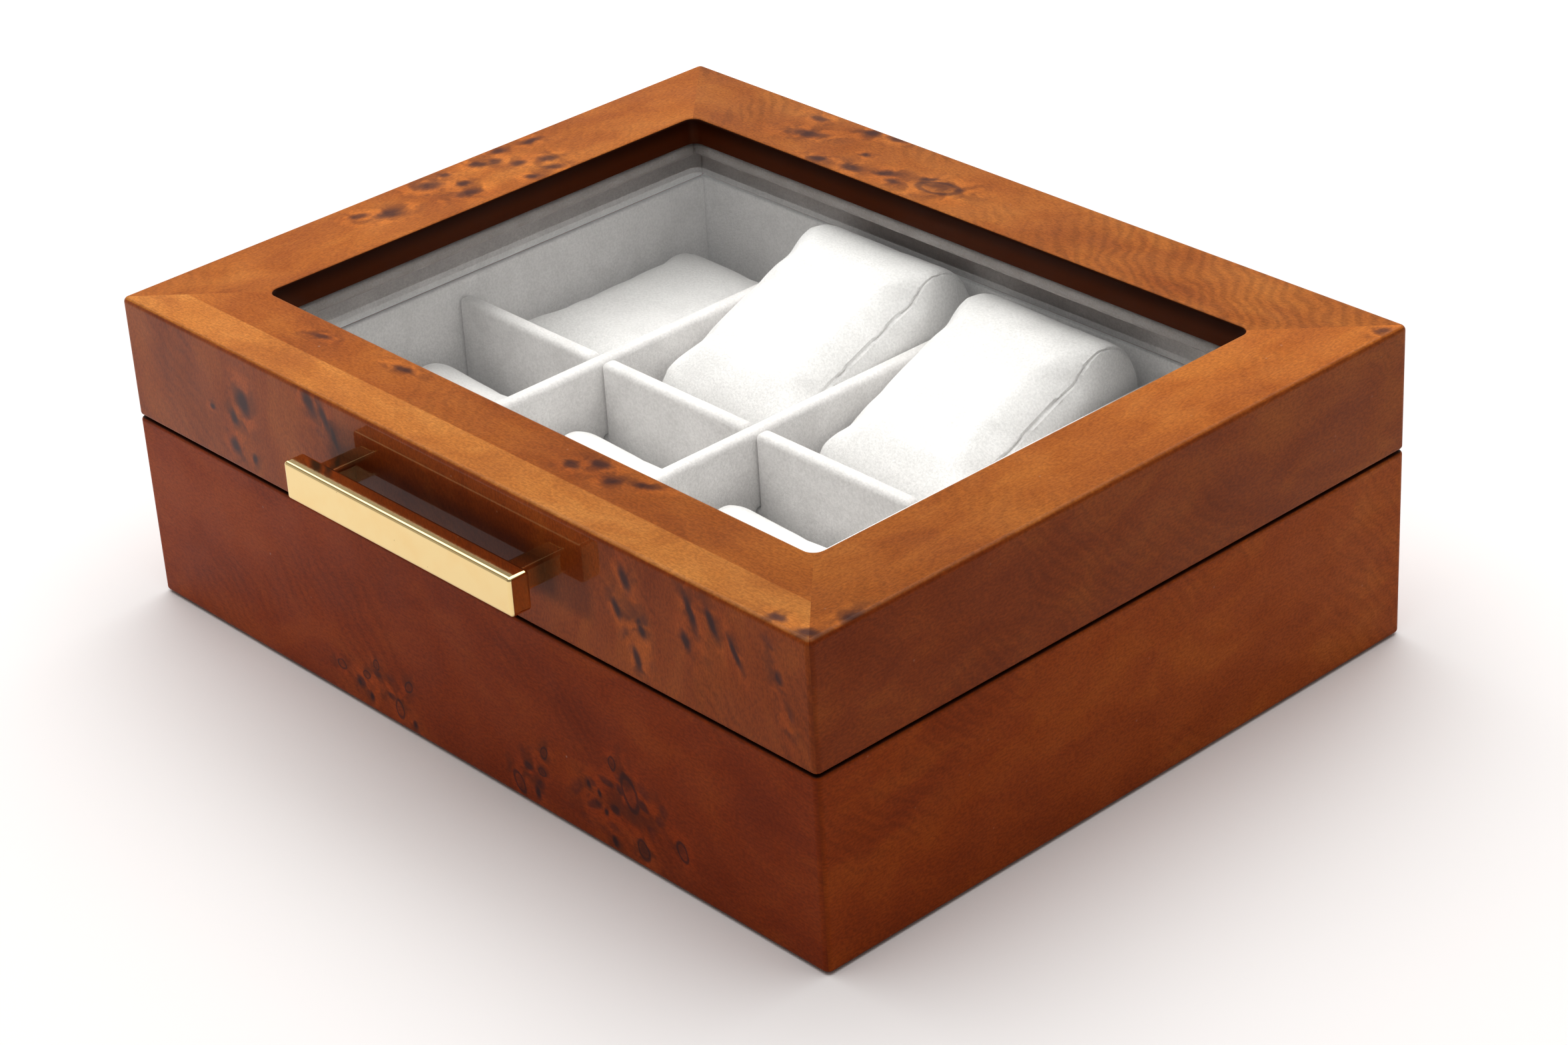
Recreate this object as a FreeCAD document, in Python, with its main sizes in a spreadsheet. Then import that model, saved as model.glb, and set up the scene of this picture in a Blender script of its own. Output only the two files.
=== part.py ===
"""Watch box: a veneered wooden box with a hinged, glazed lid.

Frame of the model: millimetres, +Z up, origin at the centre of the face the
box rests on. The handle is on the front, which faces -Y, and the hinges are
on the back, which faces +Y.
"""
import FreeCAD, Part
import math
import os

doc = FreeCAD.newDocument("watch_box")

# ---------------------------------------------------------------- dimensions
SIZES = {
    # outside of the closed box
    "box_length": 220.0,
    "box_width": 171.0,
    "box_height": 74.5,
    "rim_height": 45.0,
    "lid_gap": 0.5,
    "corner_radius": 1.5,
    "top_radius": 1.2,
    "edge_radius": 0.8,
    # base
    "wall_thickness": 8.0,
    "foot_gap": 0.5,
    "felt_thickness": 1.2,
    "bottom_thickness": 4.0,
    "floor_thickness": 2.0,
    "lining_thickness": 1.6,
    "lip_height": 4.0,
    "divider_thickness": 4.0,
    "divider_play": 0.05,
    # lid
    "lid_wall": 7.4,
    "rail_width": 23.1,
    "rail_thickness": 8.5,
    "window_corner": 2.5,
    "glass_thickness": 2.0,
    "glass_rebate": 3.0,
    "glass_play": 0.5,
    "retainer_thickness": 3.5,
    "retainer_setback": 1.0,
    # cushions
    "cushion_length": 44.0,
    "cushion_depth": 68.0,
    "cushion_thickness": 28.5,
    "cushion_corner": 12.0,
    "cushion_edge": 2.0,
    "cushion_play": 0.4,
    "raised_tilt": 22.0,
    "raised_shift": 3.1,
    "raised_lift_2": 15.0,
    "raised_lift_3": 13.2,
    # handle
    "bar_length": 73.5,
    "bar_depth": 5.2,
    "bar_height": 8.8,
    "bar_edge": 0.8,
    "post_size": 5.5,
    "post_corner": 1.0,
    "post_length": 6.3,
    "post_spacing": 61.0,
    "post_bore": 1.8,
    "post_bore_depth": 5.5,
    "handle_level": 60.0,
    "handle_screw_radius": 1.7,
    "handle_screw_reach": 4.5,
    "handle_head_radius": 3.2,
    "handle_head_height": 2.0,
    "counterbore_radius": 3.6,
    "counterbore_depth": 2.4,
    # hinges
    "hinge_spacing": 130.0,
    "hinge_length": 30.0,
    "hinge_offset": 2.2,
    "leaf_reach": 6.6,
    "leaf_thickness": 0.8,
    "leaf_play": 0.1,
    "knuckle_radius": 2.0,
    "knuckle_length": 9.8,
    "knuckle_gap": 0.3,
    "pin_radius": 0.95,
    "pin_bore": 1.02,
    "hinge_screw_radius": 0.75,
    "hinge_screw_length": 8.0,
    "hinge_head_radius": 1.5,
    "hinge_screw_spacing": 18.0,
    "hinge_screw_inset": 4.0,
    "screw_play": 0.05,
}

sheet = doc.addObject("Spreadsheet::Sheet", "Dimensions")
for row, (alias, value) in enumerate(SIZES.items(), start=1):
    sheet.set(f"A{row}", alias)
    sheet.set(f"B{row}", str(value))
    sheet.setAlias(f"B{row}", alias)
doc.recompute()


def size(alias):
    """One driving dimension, in millimetres."""
    return float(sheet.get(alias))


def formula(text):
    """Turn bare dimension names into references to the sheet."""
    for alias in sorted(SIZES, key=len, reverse=True):
        text = text.replace(alias, "@" + str(list(SIZES).index(alias)) + "@")
    for index, alias in enumerate(SIZES):
        text = text.replace(f"@{index}@", f"Dimensions.{alias}")
    return text


# derived levels and reaches, as formulas of the sheet's dimensions
LID_BOTTOM = "(rim_height + lid_gap)"
RAIL_BOTTOM = "(box_height - rail_thickness)"
PANEL_TOP = "(felt_thickness + bottom_thickness)"
FLOOR_TOP = f"({PANEL_TOP} + floor_thickness)"
LIP_TOP = "(rim_height + lip_height)"
LINED = "(wall_thickness + lining_thickness)"
INSIDE_LENGTH = f"(box_length - 2 * {LINED})"
INSIDE_WIDTH = f"(box_width - 2 * {LINED})"
AXIS_Y = "(box_width / 2 + hinge_offset)"
AXIS_Z = "(rim_height + lid_gap / 2)"
COLUMN_PITCH = f"(({INSIDE_LENGTH} + divider_thickness) / 4)"
ROW_PITCH = f"(({INSIDE_WIDTH} + divider_thickness) / 2)"

subparts = []


def bind(item, **formulas):
    """Bind properties of an object to formulas of the sheet's dimensions."""
    for name, text in formulas.items():
        item.setExpression(name.replace("_", "."), formula(str(text)))


def place(item, x=0, y=0, z=0, turn=0.0, axis=(0, 0, 1)):
    """Turn an object about an axis through its origin, then move it."""
    rotation = FreeCAD.Rotation(FreeCAD.Vector(*axis), turn)
    item.Placement = FreeCAD.Placement(FreeCAD.Vector(), rotation)
    bind(item, Placement_Base_x=x, Placement_Base_y=y, Placement_Base_z=z)
    return item


def subpart(item, label):
    """Name a finished piece and list it for checking and writing."""
    item.Label = label
    subparts.append(item)
    return item


def box(length, width, height, x=0, y=0, z=0):
    """A box centred on x and y, standing on z."""
    item = doc.addObject("Part::Box", "box")
    bind(item, Length=length, Width=width, Height=height)
    return place(item, f"{x} - ({length}) / 2", f"{y} - ({width}) / 2", z)


def rod(radius, length, x=0, y=0, z=0, direction=(0, 0, 1)):
    """A cylinder that starts at a point and runs along a direction."""
    item = doc.addObject("Part::Cylinder", "rod")
    bind(item, Radius=radius, Height=length)
    turned = FreeCAD.Rotation(FreeCAD.Vector(0, 0, 1), FreeCAD.Vector(*direction))
    return place(item, x, y, z, math.degrees(turned.Angle), turned.Axis)


def cone(bottom, top, height, x=0, y=0, z=0):
    """An upright cone frustum that stands on a point."""
    item = doc.addObject("Part::Cone", "cone")
    bind(item, Radius1=bottom, Radius2=top, Height=height)
    return place(item, x, y, z)


def fuse(pieces):
    """Join overlapping pieces into one solid."""
    item = doc.addObject("Part::MultiFuse", "fused")
    item.Shapes = pieces
    return item


def cut(base, tools):
    """Cut one or more tools out of a base."""
    item = doc.addObject("Part::Cut", "cut")
    item.Base = base
    item.Tool = tools[0] if len(tools) == 1 else fuse(tools)
    return item


def origin_plane(body, role):
    """One of a body's own origin planes."""
    for feature in body.Origin.OriginFeatures:
        if feature.Role == role:
            return feature
    raise RuntimeError(f"{body.Label} has no {role}")


def new_body(label, plane):
    """A body with an empty sketch on one of its origin planes."""
    body = doc.addObject("PartDesign::Body", label)
    sketch = body.newObject("Sketcher::SketchObject", "outline")
    sketch.AttachmentSupport = [(origin_plane(body, plane), "")]
    sketch.MapMode = "FlatFace"
    return body, sketch


def line(sketch, start, end):
    """Add a straight line and return its index."""
    segment = Part.LineSegment(FreeCAD.Vector(*start, 0), FreeCAD.Vector(*end, 0))
    return sketch.addGeometry(segment, False)


def arc(sketch, centre, radius, start, end):
    """Add an arc, with its angles in degrees, and return its index."""
    circle = Part.Circle(FreeCAD.Vector(*centre, 0), FreeCAD.Vector(0, 0, 1), radius)
    segment = Part.ArcOfCircle(circle, math.radians(start), math.radians(end))
    return sketch.addGeometry(segment, False)


def rule(sketch, kind, *values, bound=None):
    """Add a constraint, and bind its size to a formula of the sheet."""
    import Sketcher
    index = sketch.addConstraint(Sketcher.Constraint(kind, *values))
    if bound is not None:
        sketch.setExpression(f"Constraints[{index}]", formula(bound))


ORIGIN = -1
X_AXIS = -1
Y_AXIS = -2
START, END, CENTRE = 1, 2, 3


def rounded_rectangle(sketch, width, height, radius):
    """A rectangle about the origin whose four corners are arcs."""
    half_w = 20.0
    half_h = 10.0
    bend = 2.0
    flat_w = half_w - bend
    flat_h = half_h - bend
    bottom = line(sketch, (-flat_w, -half_h), (flat_w, -half_h))
    corner_a = arc(sketch, (flat_w, -flat_h), bend, -90, 0)
    right = line(sketch, (half_w, -flat_h), (half_w, flat_h))
    corner_b = arc(sketch, (flat_w, flat_h), bend, 0, 90)
    top = line(sketch, (flat_w, half_h), (-flat_w, half_h))
    corner_c = arc(sketch, (-flat_w, flat_h), bend, 90, 180)
    left = line(sketch, (-half_w, flat_h), (-half_w, -flat_h))
    corner_d = arc(sketch, (-flat_w, -flat_h), bend, 180, 270)
    chain = [bottom, corner_a, right, corner_b, top, corner_c, left, corner_d]
    for index, edge in enumerate(chain):
        following = chain[(index + 1) % len(chain)]
        rule(sketch, "Tangent", edge, END, following, START)
    for flat in (bottom, top):
        rule(sketch, "Horizontal", flat)
    for upright in (left, right):
        rule(sketch, "Vertical", upright)
    for corner in (corner_b, corner_c, corner_d):
        rule(sketch, "Equal", corner_a, corner)
    rule(sketch, "Symmetric", corner_a, CENTRE, corner_c, CENTRE, ORIGIN, START)
    rule(sketch, "Radius", corner_a, bend, bound=radius)
    rule(sketch, "DistanceX", corner_d, CENTRE, corner_a, CENTRE, 2 * flat_w,
         bound=f"{width} - 2 * {radius}")
    rule(sketch, "DistanceY", corner_a, CENTRE, corner_b, CENTRE, 2 * flat_h,
         bound=f"{height} - 2 * {radius}")


def mitred_outline(sketch, span, width, inner_corner):
    """Plan of one side of a frame: its outer edge on X, its ends at 45 degrees.

    The outer corners are half of the frame's rounded corners, and so are the
    inner ones where inner_corner names a radius.
    """
    half = size(span) / 2
    wide = size(width)
    bend = size("corner_radius")
    nip = bend * (1 - math.cos(math.pi / 4))
    outer = line(sketch, (-half + bend, 0), (half - bend, 0))
    right_arc = arc(sketch, (half - bend, bend), bend, -90, -45)
    left_arc = arc(sketch, (-half + bend, bend), bend, 225, 270)
    if inner_corner:
        turn = size(inner_corner)
        reach = half - wide - turn
        dip = turn * (1 - math.cos(math.pi / 4))
        inner = line(sketch, (reach, wide), (-reach, wide))
        inner_right = arc(sketch, (reach, wide + turn), turn, -90, -45)
        inner_left = arc(sketch, (-reach, wide + turn), turn, 225, 270)
        meet = (half - wide - dip, wide + dip)
    else:
        inner = line(sketch, (half - wide, wide), (-half + wide, wide))
        meet = (half - wide, wide)
    right_mitre = line(sketch, (half - nip, nip), meet)
    left_mitre = line(sketch, (-meet[0], meet[1]), (-half + nip, nip))

    rule(sketch, "PointOnObject", outer, START, X_AXIS)
    rule(sketch, "Symmetric", outer, START, outer, END, Y_AXIS)
    rule(sketch, "Tangent", outer, END, right_arc, START)
    rule(sketch, "Tangent", left_arc, END, outer, START)
    rule(sketch, "Coincident", right_arc, END, right_mitre, START)
    rule(sketch, "Coincident", left_mitre, END, left_arc, START)
    rule(sketch, "Radius", right_arc, bend, bound="corner_radius")
    rule(sketch, "Equal", right_arc, left_arc)
    rule(sketch, "DistanceX", left_arc, CENTRE, right_arc, CENTRE, 2 * (half - bend),
         bound=f"{span} - 2 * corner_radius")
    for mitre, corner in ((right_mitre, right_arc), (left_mitre, left_arc)):
        rule(sketch, "PointOnObject", corner, CENTRE, mitre)
    rule(sketch, "Angle", right_mitre, math.radians(135))
    rule(sketch, "Angle", left_mitre, math.radians(-135))
    rule(sketch, "DistanceY", ORIGIN, START, inner, START, wide, bound=width)
    if inner_corner:
        rule(sketch, "Horizontal", inner)
        rule(sketch, "Tangent", inner, START, inner_right, START)
        rule(sketch, "Tangent", inner_left, END, inner, END)
        rule(sketch, "Coincident", inner_right, END, right_mitre, END)
        rule(sketch, "Coincident", left_mitre, START, inner_left, START)
        rule(sketch, "Radius", inner_right, turn, bound=inner_corner)
        rule(sketch, "Equal", inner_right, inner_left)
        rule(sketch, "PointOnObject", inner_right, CENTRE, right_mitre)
        rule(sketch, "PointOnObject", inner_left, CENTRE, left_mitre)
    else:
        rule(sketch, "Horizontal", inner)
        rule(sketch, "Coincident", inner, START, right_mitre, END)
        rule(sketch, "Coincident", left_mitre, START, inner, END)


def edges_where(shape, test):
    """Names of the edges whose every vertex passes a test."""
    names = []
    for index, edge in enumerate(shape.Edges, start=1):
        if all(test(vertex.Point) for vertex in edge.Vertexes):
            names.append(f"Edge{index}")
    return names


def round_edges(body, radius, test):
    """Round the edges of a body that pass a test."""
    doc.recompute()
    base = body.Tip
    fillet = body.newObject("PartDesign::Fillet", "rounded")
    fillet.Base = (base, edges_where(base.Shape, test))
    bind(fillet, Radius=radius)


def pad(body, sketch, length, midplane=False):
    """Give a sketch its thickness."""
    feature = body.newObject("PartDesign::Pad", "pad")
    feature.Profile = sketch
    feature.Midplane = midplane
    bind(feature, Length=length)


SIDES = {
    "front": ("box_length", 0.0, "0", "-box_width / 2"),
    "right": ("box_width", 90.0, "box_length / 2", "0"),
    "back": ("box_length", 180.0, "0", "box_width / 2"),
    "left": ("box_width", 270.0, "-box_length / 2", "0"),
}


def near(value, target):
    """True for two lengths that are the same in the model."""
    return abs(value - target) < 1e-4


def mitred_side(side, name, width, bottom, height, rounded, inner_corner=None):
    """One side of the base, skirt or window frame, with its arrises eased.

    rounded lists which long edges are eased, as (where, level, radius): where
    is "outer" or "inner", level is "top" or "bottom".
    """
    span, turn, x, y = SIDES[side]
    body, sketch = new_body(name, "XY_Plane")
    mitred_outline(sketch, span, width, inner_corner)
    pad(body, sketch, height)
    doc.recompute()
    top = body.Shape.BoundBox.ZMax
    for where, level, radius in rounded:
        z = top if level == "top" else 0.0
        if where == "outer":
            def test(point, z=z):
                return near(point.z, z) and point.y < size("corner_radius")
        else:
            def test(point, z=z):
                return near(point.z, z) and point.y > size(width) - 1e-4
        round_edges(body, radius, test)
    return place(body, x, y, bottom, turn)


# ---------------------------------------------------------------------- base
BASE_HEIGHT = "rim_height - foot_gap"
for side in ("front", "left", "right"):
    wall = mitred_side(side, f"base_{side}", "wall_thickness", "foot_gap", BASE_HEIGHT,
                       [("outer", "top", "edge_radius"), ("outer", "bottom", "edge_radius")])
    subpart(wall, f"base_{side}_wall")

back_wall = mitred_side("back", "base_back", "wall_thickness", "foot_gap", BASE_HEIGHT,
                        [("outer", "top", "edge_radius"), ("outer", "bottom", "edge_radius")])

PANEL_LENGTH = "box_length - 2 * wall_thickness"
PANEL_WIDTH = "box_width - 2 * wall_thickness"
subpart(box(PANEL_LENGTH, PANEL_WIDTH, "bottom_thickness", z="felt_thickness"),
        "base_bottom_panel")
subpart(box(f"{PANEL_LENGTH} - 2", f"{PANEL_WIDTH} - 2", "felt_thickness"), "base_felt_pad")
subpart(box(INSIDE_LENGTH, INSIDE_WIDTH, "floor_thickness", z=PANEL_TOP), "tray_floor")

# the velvet-covered lining stands above the rim as a lip that locates the lid
LINING_HEIGHT = f"{LIP_TOP} - {PANEL_TOP}"
for side, direction in (("front", -1), ("back", 1)):
    lining = box(PANEL_LENGTH, "lining_thickness", LINING_HEIGHT,
                 y=f"{direction} * (box_width - 2 * wall_thickness - lining_thickness) / 2",
                 z=PANEL_TOP)
    subpart(lining, f"base_lining_{side}")
for side, direction in (("left", -1), ("right", 1)):
    lining = box("lining_thickness", INSIDE_WIDTH, LINING_HEIGHT,
                 x=f"{direction} * (box_length - 2 * wall_thickness - lining_thickness) / 2",
                 z=PANEL_TOP)
    subpart(lining, f"base_lining_{side}")

# dividers cross in half-lap joints: the long one is slotted from above
DIVIDER_HEIGHT = f"rim_height - {FLOOR_TOP}"
SLOT = "divider_thickness + 2 * divider_play"
CROSSINGS = {
    "left": f"-{COLUMN_PITCH}",
    "centre": "0",
    "right": f"{COLUMN_PITCH}",
}
HALF_LAP = f"({FLOOR_TOP} + ({DIVIDER_HEIGHT}) / 2)"
long_board = box(f"{INSIDE_LENGTH} - 2 * divider_play", "divider_thickness",
                 DIVIDER_HEIGHT, z=FLOOR_TOP)
slots = [box(SLOT, "divider_thickness + 2", DIVIDER_HEIGHT, x=x, z=HALF_LAP)
         for x in CROSSINGS.values()]
subpart(cut(long_board, slots), "long_divider")
for name, x in CROSSINGS.items():
    board = box("divider_thickness", f"{INSIDE_WIDTH} - 2 * divider_play",
                DIVIDER_HEIGHT, x=x, z=FLOOR_TOP)
    notch = box("divider_thickness + 2", SLOT, DIVIDER_HEIGHT, x=x,
                z=f"{HALF_LAP} - ({DIVIDER_HEIGHT})")
    subpart(cut(board, [notch]), f"cross_divider_{name}")

# ----------------------------------------------------------------------- lid
SKIRT_HEIGHT = f"{RAIL_BOTTOM} - {LID_BOTTOM}"
skirts = {side: mitred_side(side, f"skirt_{side}", "lid_wall", LID_BOTTOM, SKIRT_HEIGHT,
                            [("outer", "bottom", "edge_radius")])
          for side in SIDES}
for side in ("left", "right"):
    subpart(skirts[side], f"lid_{side}_skirt")

WINDOW_LENGTH = "(box_length - 2 * rail_width)"
WINDOW_WIDTH = "(box_width - 2 * rail_width)"
GLASS_LENGTH = f"({WINDOW_LENGTH} + 2 * glass_rebate)"
GLASS_WIDTH = f"({WINDOW_WIDTH} + 2 * glass_rebate)"
for side in SIDES:
    rail = mitred_side(side, f"rail_{side}", "rail_width", RAIL_BOTTOM, "rail_thickness",
                       [("outer", "top", "top_radius"), ("inner", "top", "edge_radius")],
                       inner_corner="window_corner")
    rebate = box(GLASS_LENGTH, GLASS_WIDTH, "glass_thickness", z=RAIL_BOTTOM)
    subpart(cut(rail, [rebate]), f"lid_{side}_rail")
subpart(box(f"{GLASS_LENGTH} - 2 * glass_play", f"{GLASS_WIDTH} - 2 * glass_play",
            "glass_thickness", z=RAIL_BOTTOM), "glass_pane")

# four covered strips hold the glass up in its rebate
RETAINER_BOTTOM = f"({RAIL_BOTTOM} - retainer_thickness)"
STRIP_WIDTH = "(rail_width - retainer_setback - lid_wall)"
for side, direction in (("front", -1), ("back", 1)):
    strip = box("box_length - 2 * lid_wall", STRIP_WIDTH, "retainer_thickness",
                y=f"{direction} * (box_width / 2 - lid_wall - {STRIP_WIDTH} / 2)",
                z=RETAINER_BOTTOM)
    subpart(strip, f"glass_retainer_{side}")
for side, direction in (("left", -1), ("right", 1)):
    strip = box(STRIP_WIDTH, "box_width - 2 * (rail_width - retainer_setback)",
                "retainer_thickness",
                x=f"{direction} * (box_length / 2 - lid_wall - {STRIP_WIDTH} / 2)",
                z=RETAINER_BOTTOM)
    subpart(strip, f"glass_retainer_{side}")

LID_LINING = f"({LINED} - lid_wall)"
LID_LINING_BOTTOM = f"({LIP_TOP} + lid_gap)"
LID_LINING_HEIGHT = f"{RETAINER_BOTTOM} - {LID_LINING_BOTTOM}"
for side, direction in (("front", -1), ("back", 1)):
    lining = box("box_length - 2 * lid_wall", LID_LINING, LID_LINING_HEIGHT,
                 y=f"{direction} * (box_width / 2 - lid_wall - {LID_LINING} / 2)",
                 z=LID_LINING_BOTTOM)
    subpart(lining, f"lid_lining_{side}")
for side, direction in (("left", -1), ("right", 1)):
    lining = box(LID_LINING, INSIDE_WIDTH, LID_LINING_HEIGHT,
                 x=f"{direction} * (box_length / 2 - lid_wall - {LID_LINING} / 2)",
                 z=LID_LINING_BOTTOM)
    subpart(lining, f"lid_lining_{side}")

# -------------------------------------------------------------------- handle
FRONT = "(-box_width / 2)"
OUTWARD = (0, -1, 0)
INNER_SKIRT = f"({FRONT} + lid_wall)"
HEAD_FACE = f"({INNER_SKIRT} - counterbore_depth)"
posts_x = {"left": "-post_spacing / 2", "right": "post_spacing / 2"}
wall_bores = []
screws = []
for side, x in posts_x.items():
    body, sketch = new_body(f"post_{side}", "XZ_Plane")
    rounded_rectangle(sketch, "post_size", "post_size", "post_corner")
    pad(body, sketch, "post_length")
    place(body, x, FRONT, "handle_level")
    socket = rod("post_bore", "post_bore_depth", x, FRONT, "handle_level", OUTWARD)
    subpart(cut(body, [socket]), f"handle_post_{side}")
    wall_bores.append(rod("post_bore + screw_play", "lid_wall", x, INNER_SKIRT,
                          "handle_level", OUTWARD))
    wall_bores.append(rod("counterbore_radius", "counterbore_depth", x, INNER_SKIRT,
                          "handle_level", OUTWARD))
    shank = rod("handle_screw_radius",
                "lid_wall - counterbore_depth + handle_screw_reach",
                x, HEAD_FACE, "handle_level", OUTWARD)
    head = rod("handle_head_radius", "handle_head_height", x,
               f"{HEAD_FACE} + handle_head_height", "handle_level", OUTWARD)
    screws.append(fuse([shank, head]))
subpart(cut(skirts["front"], wall_bores), "lid_front_skirt")

handle_screws = doc.addObject("Part::Compound", "handle_screw_pair")
handle_screws.Links = screws
subpart(handle_screws, "handle_screws")

bar_blank = box("bar_length", "bar_depth", "bar_height",
                y=f"{FRONT} - post_length - bar_depth / 2",
                z="handle_level - bar_height / 2")
doc.recompute()
handle_bar = doc.addObject("Part::Fillet", "bar")
handle_bar.Base = bar_blank
handle_bar.Edges = [(index, size("bar_edge"), size("bar_edge"))
                    for index in range(1, len(bar_blank.Shape.Edges) + 1)]
subpart(handle_bar, "handle_bar")

# -------------------------------------------------------------------- hinges
# each leaf is let in flush: the base leaf in the rim, the lid leaf in the skirt
ALONG = (1, 0, 0)
LEAF_EDGE = "(box_width / 2 - leaf_reach)"
LEAF_WIDTH = "(leaf_reach + hinge_offset - pin_radius - 0.3)"
LEAF_Y = f"({LEAF_EDGE} + {LEAF_WIDTH} / 2)"
SCREW_Y = "(box_width / 2 - hinge_screw_inset)"
BASE_LEAF_Z = "(rim_height - leaf_thickness)"
KNUCKLE_STEP = "(knuckle_length + knuckle_gap)"


def countersunk(x, level, direction, wide, narrow, head, length):
    """A cone that narrows from a leaf's face, and a rod along its axis.

    direction is 1 for a screw that goes up from level, -1 for one that goes down.
    """
    if direction > 0:
        return [cone(wide, narrow, head, x, SCREW_Y, level),
                rod(narrow, length, x, SCREW_Y, level)]
    return [cone(narrow, wide, head, x, SCREW_Y, f"{level} - ({head})"),
            rod(narrow, length, x, SCREW_Y, f"{level} - ({length})")]


def hinge_screw(x, level, direction):
    """A small wood screw whose flat head is flush with a leaf's face."""
    return fuse(countersunk(x, level, direction, "hinge_head_radius", "hinge_screw_radius",
                            "leaf_thickness - screw_play", "hinge_screw_length"))


def hinge_screw_hole(x, level, direction):
    """The countersink and pilot hole for one hinge screw, with a little play."""
    return countersunk(x, level, direction, "hinge_head_radius + 2 * screw_play",
                       "hinge_screw_radius + screw_play", "leaf_thickness",
                       "hinge_screw_length + leaf_thickness")


def knuckle(x):
    """One knuckle of a hinge, centred on x and on the hinge axis."""
    return rod("knuckle_radius", "knuckle_length", f"{x} - knuckle_length / 2",
               AXIS_Y, AXIS_Z, ALONG)


def knuckle_room(x):
    """The space in which the other leaf's knuckle turns."""
    return box("knuckle_length + 2 * knuckle_gap", "2 * (knuckle_radius + leaf_play)",
               "4 * knuckle_radius", x=x, y=AXIS_Y, z=f"{AXIS_Z} - 2 * knuckle_radius")


def hinge_leaf(label, x, level, bottom, direction, own_knuckles, rooms):
    """One leaf; returns the cutters for its mortise and its screws' holes."""
    plate = box("hinge_length", LEAF_WIDTH, "leaf_thickness", x=x, y=LEAF_Y, z=bottom)
    trimmed = cut(plate, [knuckle_room(at) for at in rooms])
    screw_xs = [f"({x} + {sign} * hinge_screw_spacing / 2)" for sign in (-1, 1)]
    holes = []
    pilots = []
    fitted = []
    for screw_x in screw_xs:
        holes += hinge_screw_hole(screw_x, level, direction)
        pilots += hinge_screw_hole(screw_x, level, direction)
        fitted.append(hinge_screw(screw_x, level, direction))
    bore = rod("pin_bore", "hinge_length + 2", f"{x} - hinge_length / 2 - 1",
               AXIS_Y, AXIS_Z, ALONG)
    subpart(cut(fuse([trimmed] + [knuckle(at) for at in own_knuckles]), holes + [bore]),
            label)
    mortise = box("hinge_length + 2 * leaf_play", "leaf_reach + leaf_play",
                  "leaf_thickness", x=x,
                  y="(box_width / 2 - (leaf_reach + leaf_play) / 2)", z=bottom)
    return [mortise] + pilots, fitted


base_cuts = []
lid_cuts = []
base_screws = []
lid_screws = []
for side, x in (("left", "(-hinge_spacing / 2)"), ("right", "(hinge_spacing / 2)")):
    outer = [f"({x} - {KNUCKLE_STEP})", f"({x} + {KNUCKLE_STEP})"]
    cutters, fitted = hinge_leaf(f"hinge_{side}_base_leaf", x, "rim_height", BASE_LEAF_Z,
                                 -1, outer, [x])
    base_cuts += cutters
    base_screws += fitted
    cutters, fitted = hinge_leaf(f"hinge_{side}_lid_leaf", x, LID_BOTTOM, LID_BOTTOM,
                                 1, [x], outer)
    lid_cuts += cutters
    lid_screws += fitted
    subpart(rod("pin_radius", f"2 * {KNUCKLE_STEP} + knuckle_length",
                f"{x} - {KNUCKLE_STEP} - knuckle_length / 2", AXIS_Y, AXIS_Z, ALONG),
            f"hinge_{side}_pin")

subpart(cut(back_wall, base_cuts), "base_back_wall")
subpart(cut(skirts["back"], lid_cuts), "lid_back_skirt")
for label, group in (("hinge_base_screws", base_screws), ("hinge_lid_screws", lid_screws)):
    compound = doc.addObject("Part::Compound", f"{label}_group")
    compound.Links = group
    subpart(compound, label)

# ------------------------------------------------------------------ cushions
# two cushions stand up from their compartments, leaning on the back lining
RAISED_LIFTS = {"back_2": "raised_lift_2", "back_3": "raised_lift_3"}
CUSHION_LEVEL = f"({FLOOR_TOP} + cushion_play + cushion_thickness / 2)"


def cushion(name, x, y):
    """One cushion: a rounded slab whose ends face along X."""
    body, sketch = new_body(f"cushion_{name}_body", "YZ_Plane")
    rounded_rectangle(sketch, "cushion_depth", "cushion_thickness", "cushion_corner")
    pad(body, sketch, "cushion_length", midplane=True)
    end = size("cushion_length") / 2
    round_edges(body, "cushion_edge", lambda point: near(abs(point.x), end))
    if name in RAISED_LIFTS:
        place(body, x, f"{y} + raised_shift", f"{CUSHION_LEVEL} + {RAISED_LIFTS[name]}",
              size("raised_tilt"), (1, 0, 0))
    else:
        place(body, x, y, CUSHION_LEVEL)
    subpart(body, f"cushion_{name}")


for row, row_y in (("front", f"-{ROW_PITCH} / 2"), ("back", f"{ROW_PITCH} / 2")):
    for column in range(1, 5):
        cushion(f"{row}_{column}", f"({column} - 2.5) * {COLUMN_PITCH}", row_y)

# ---------------------------------------------------------- check and export
doc.recompute()
for item in doc.Objects:
    if "Invalid" in item.State or "Error" in item.State:
        raise RuntimeError(f"{item.Label} failed: {item.State}")
for item in subparts:
    shape = item.Shape
    if shape.isNull() or not shape.isValid() or shape.Volume <= 0:
        raise RuntimeError(f"{item.Label} has no valid shape")

os.makedirs("parts", exist_ok=True)
for item in subparts:
    item.Shape.exportStep(f"parts/{item.Label}.step")
    extent = item.Shape.BoundBox
    print(f"{item.Label:24s} x {extent.XMin:8.2f} {extent.XMax:8.2f}  "
          f"y {extent.YMin:8.2f} {extent.YMax:8.2f}  z {extent.ZMin:7.2f} {extent.ZMax:7.2f}  "
          f"volume {item.Shape.Volume:10.1f}")
print(len(subparts), "sub-parts")
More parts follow.
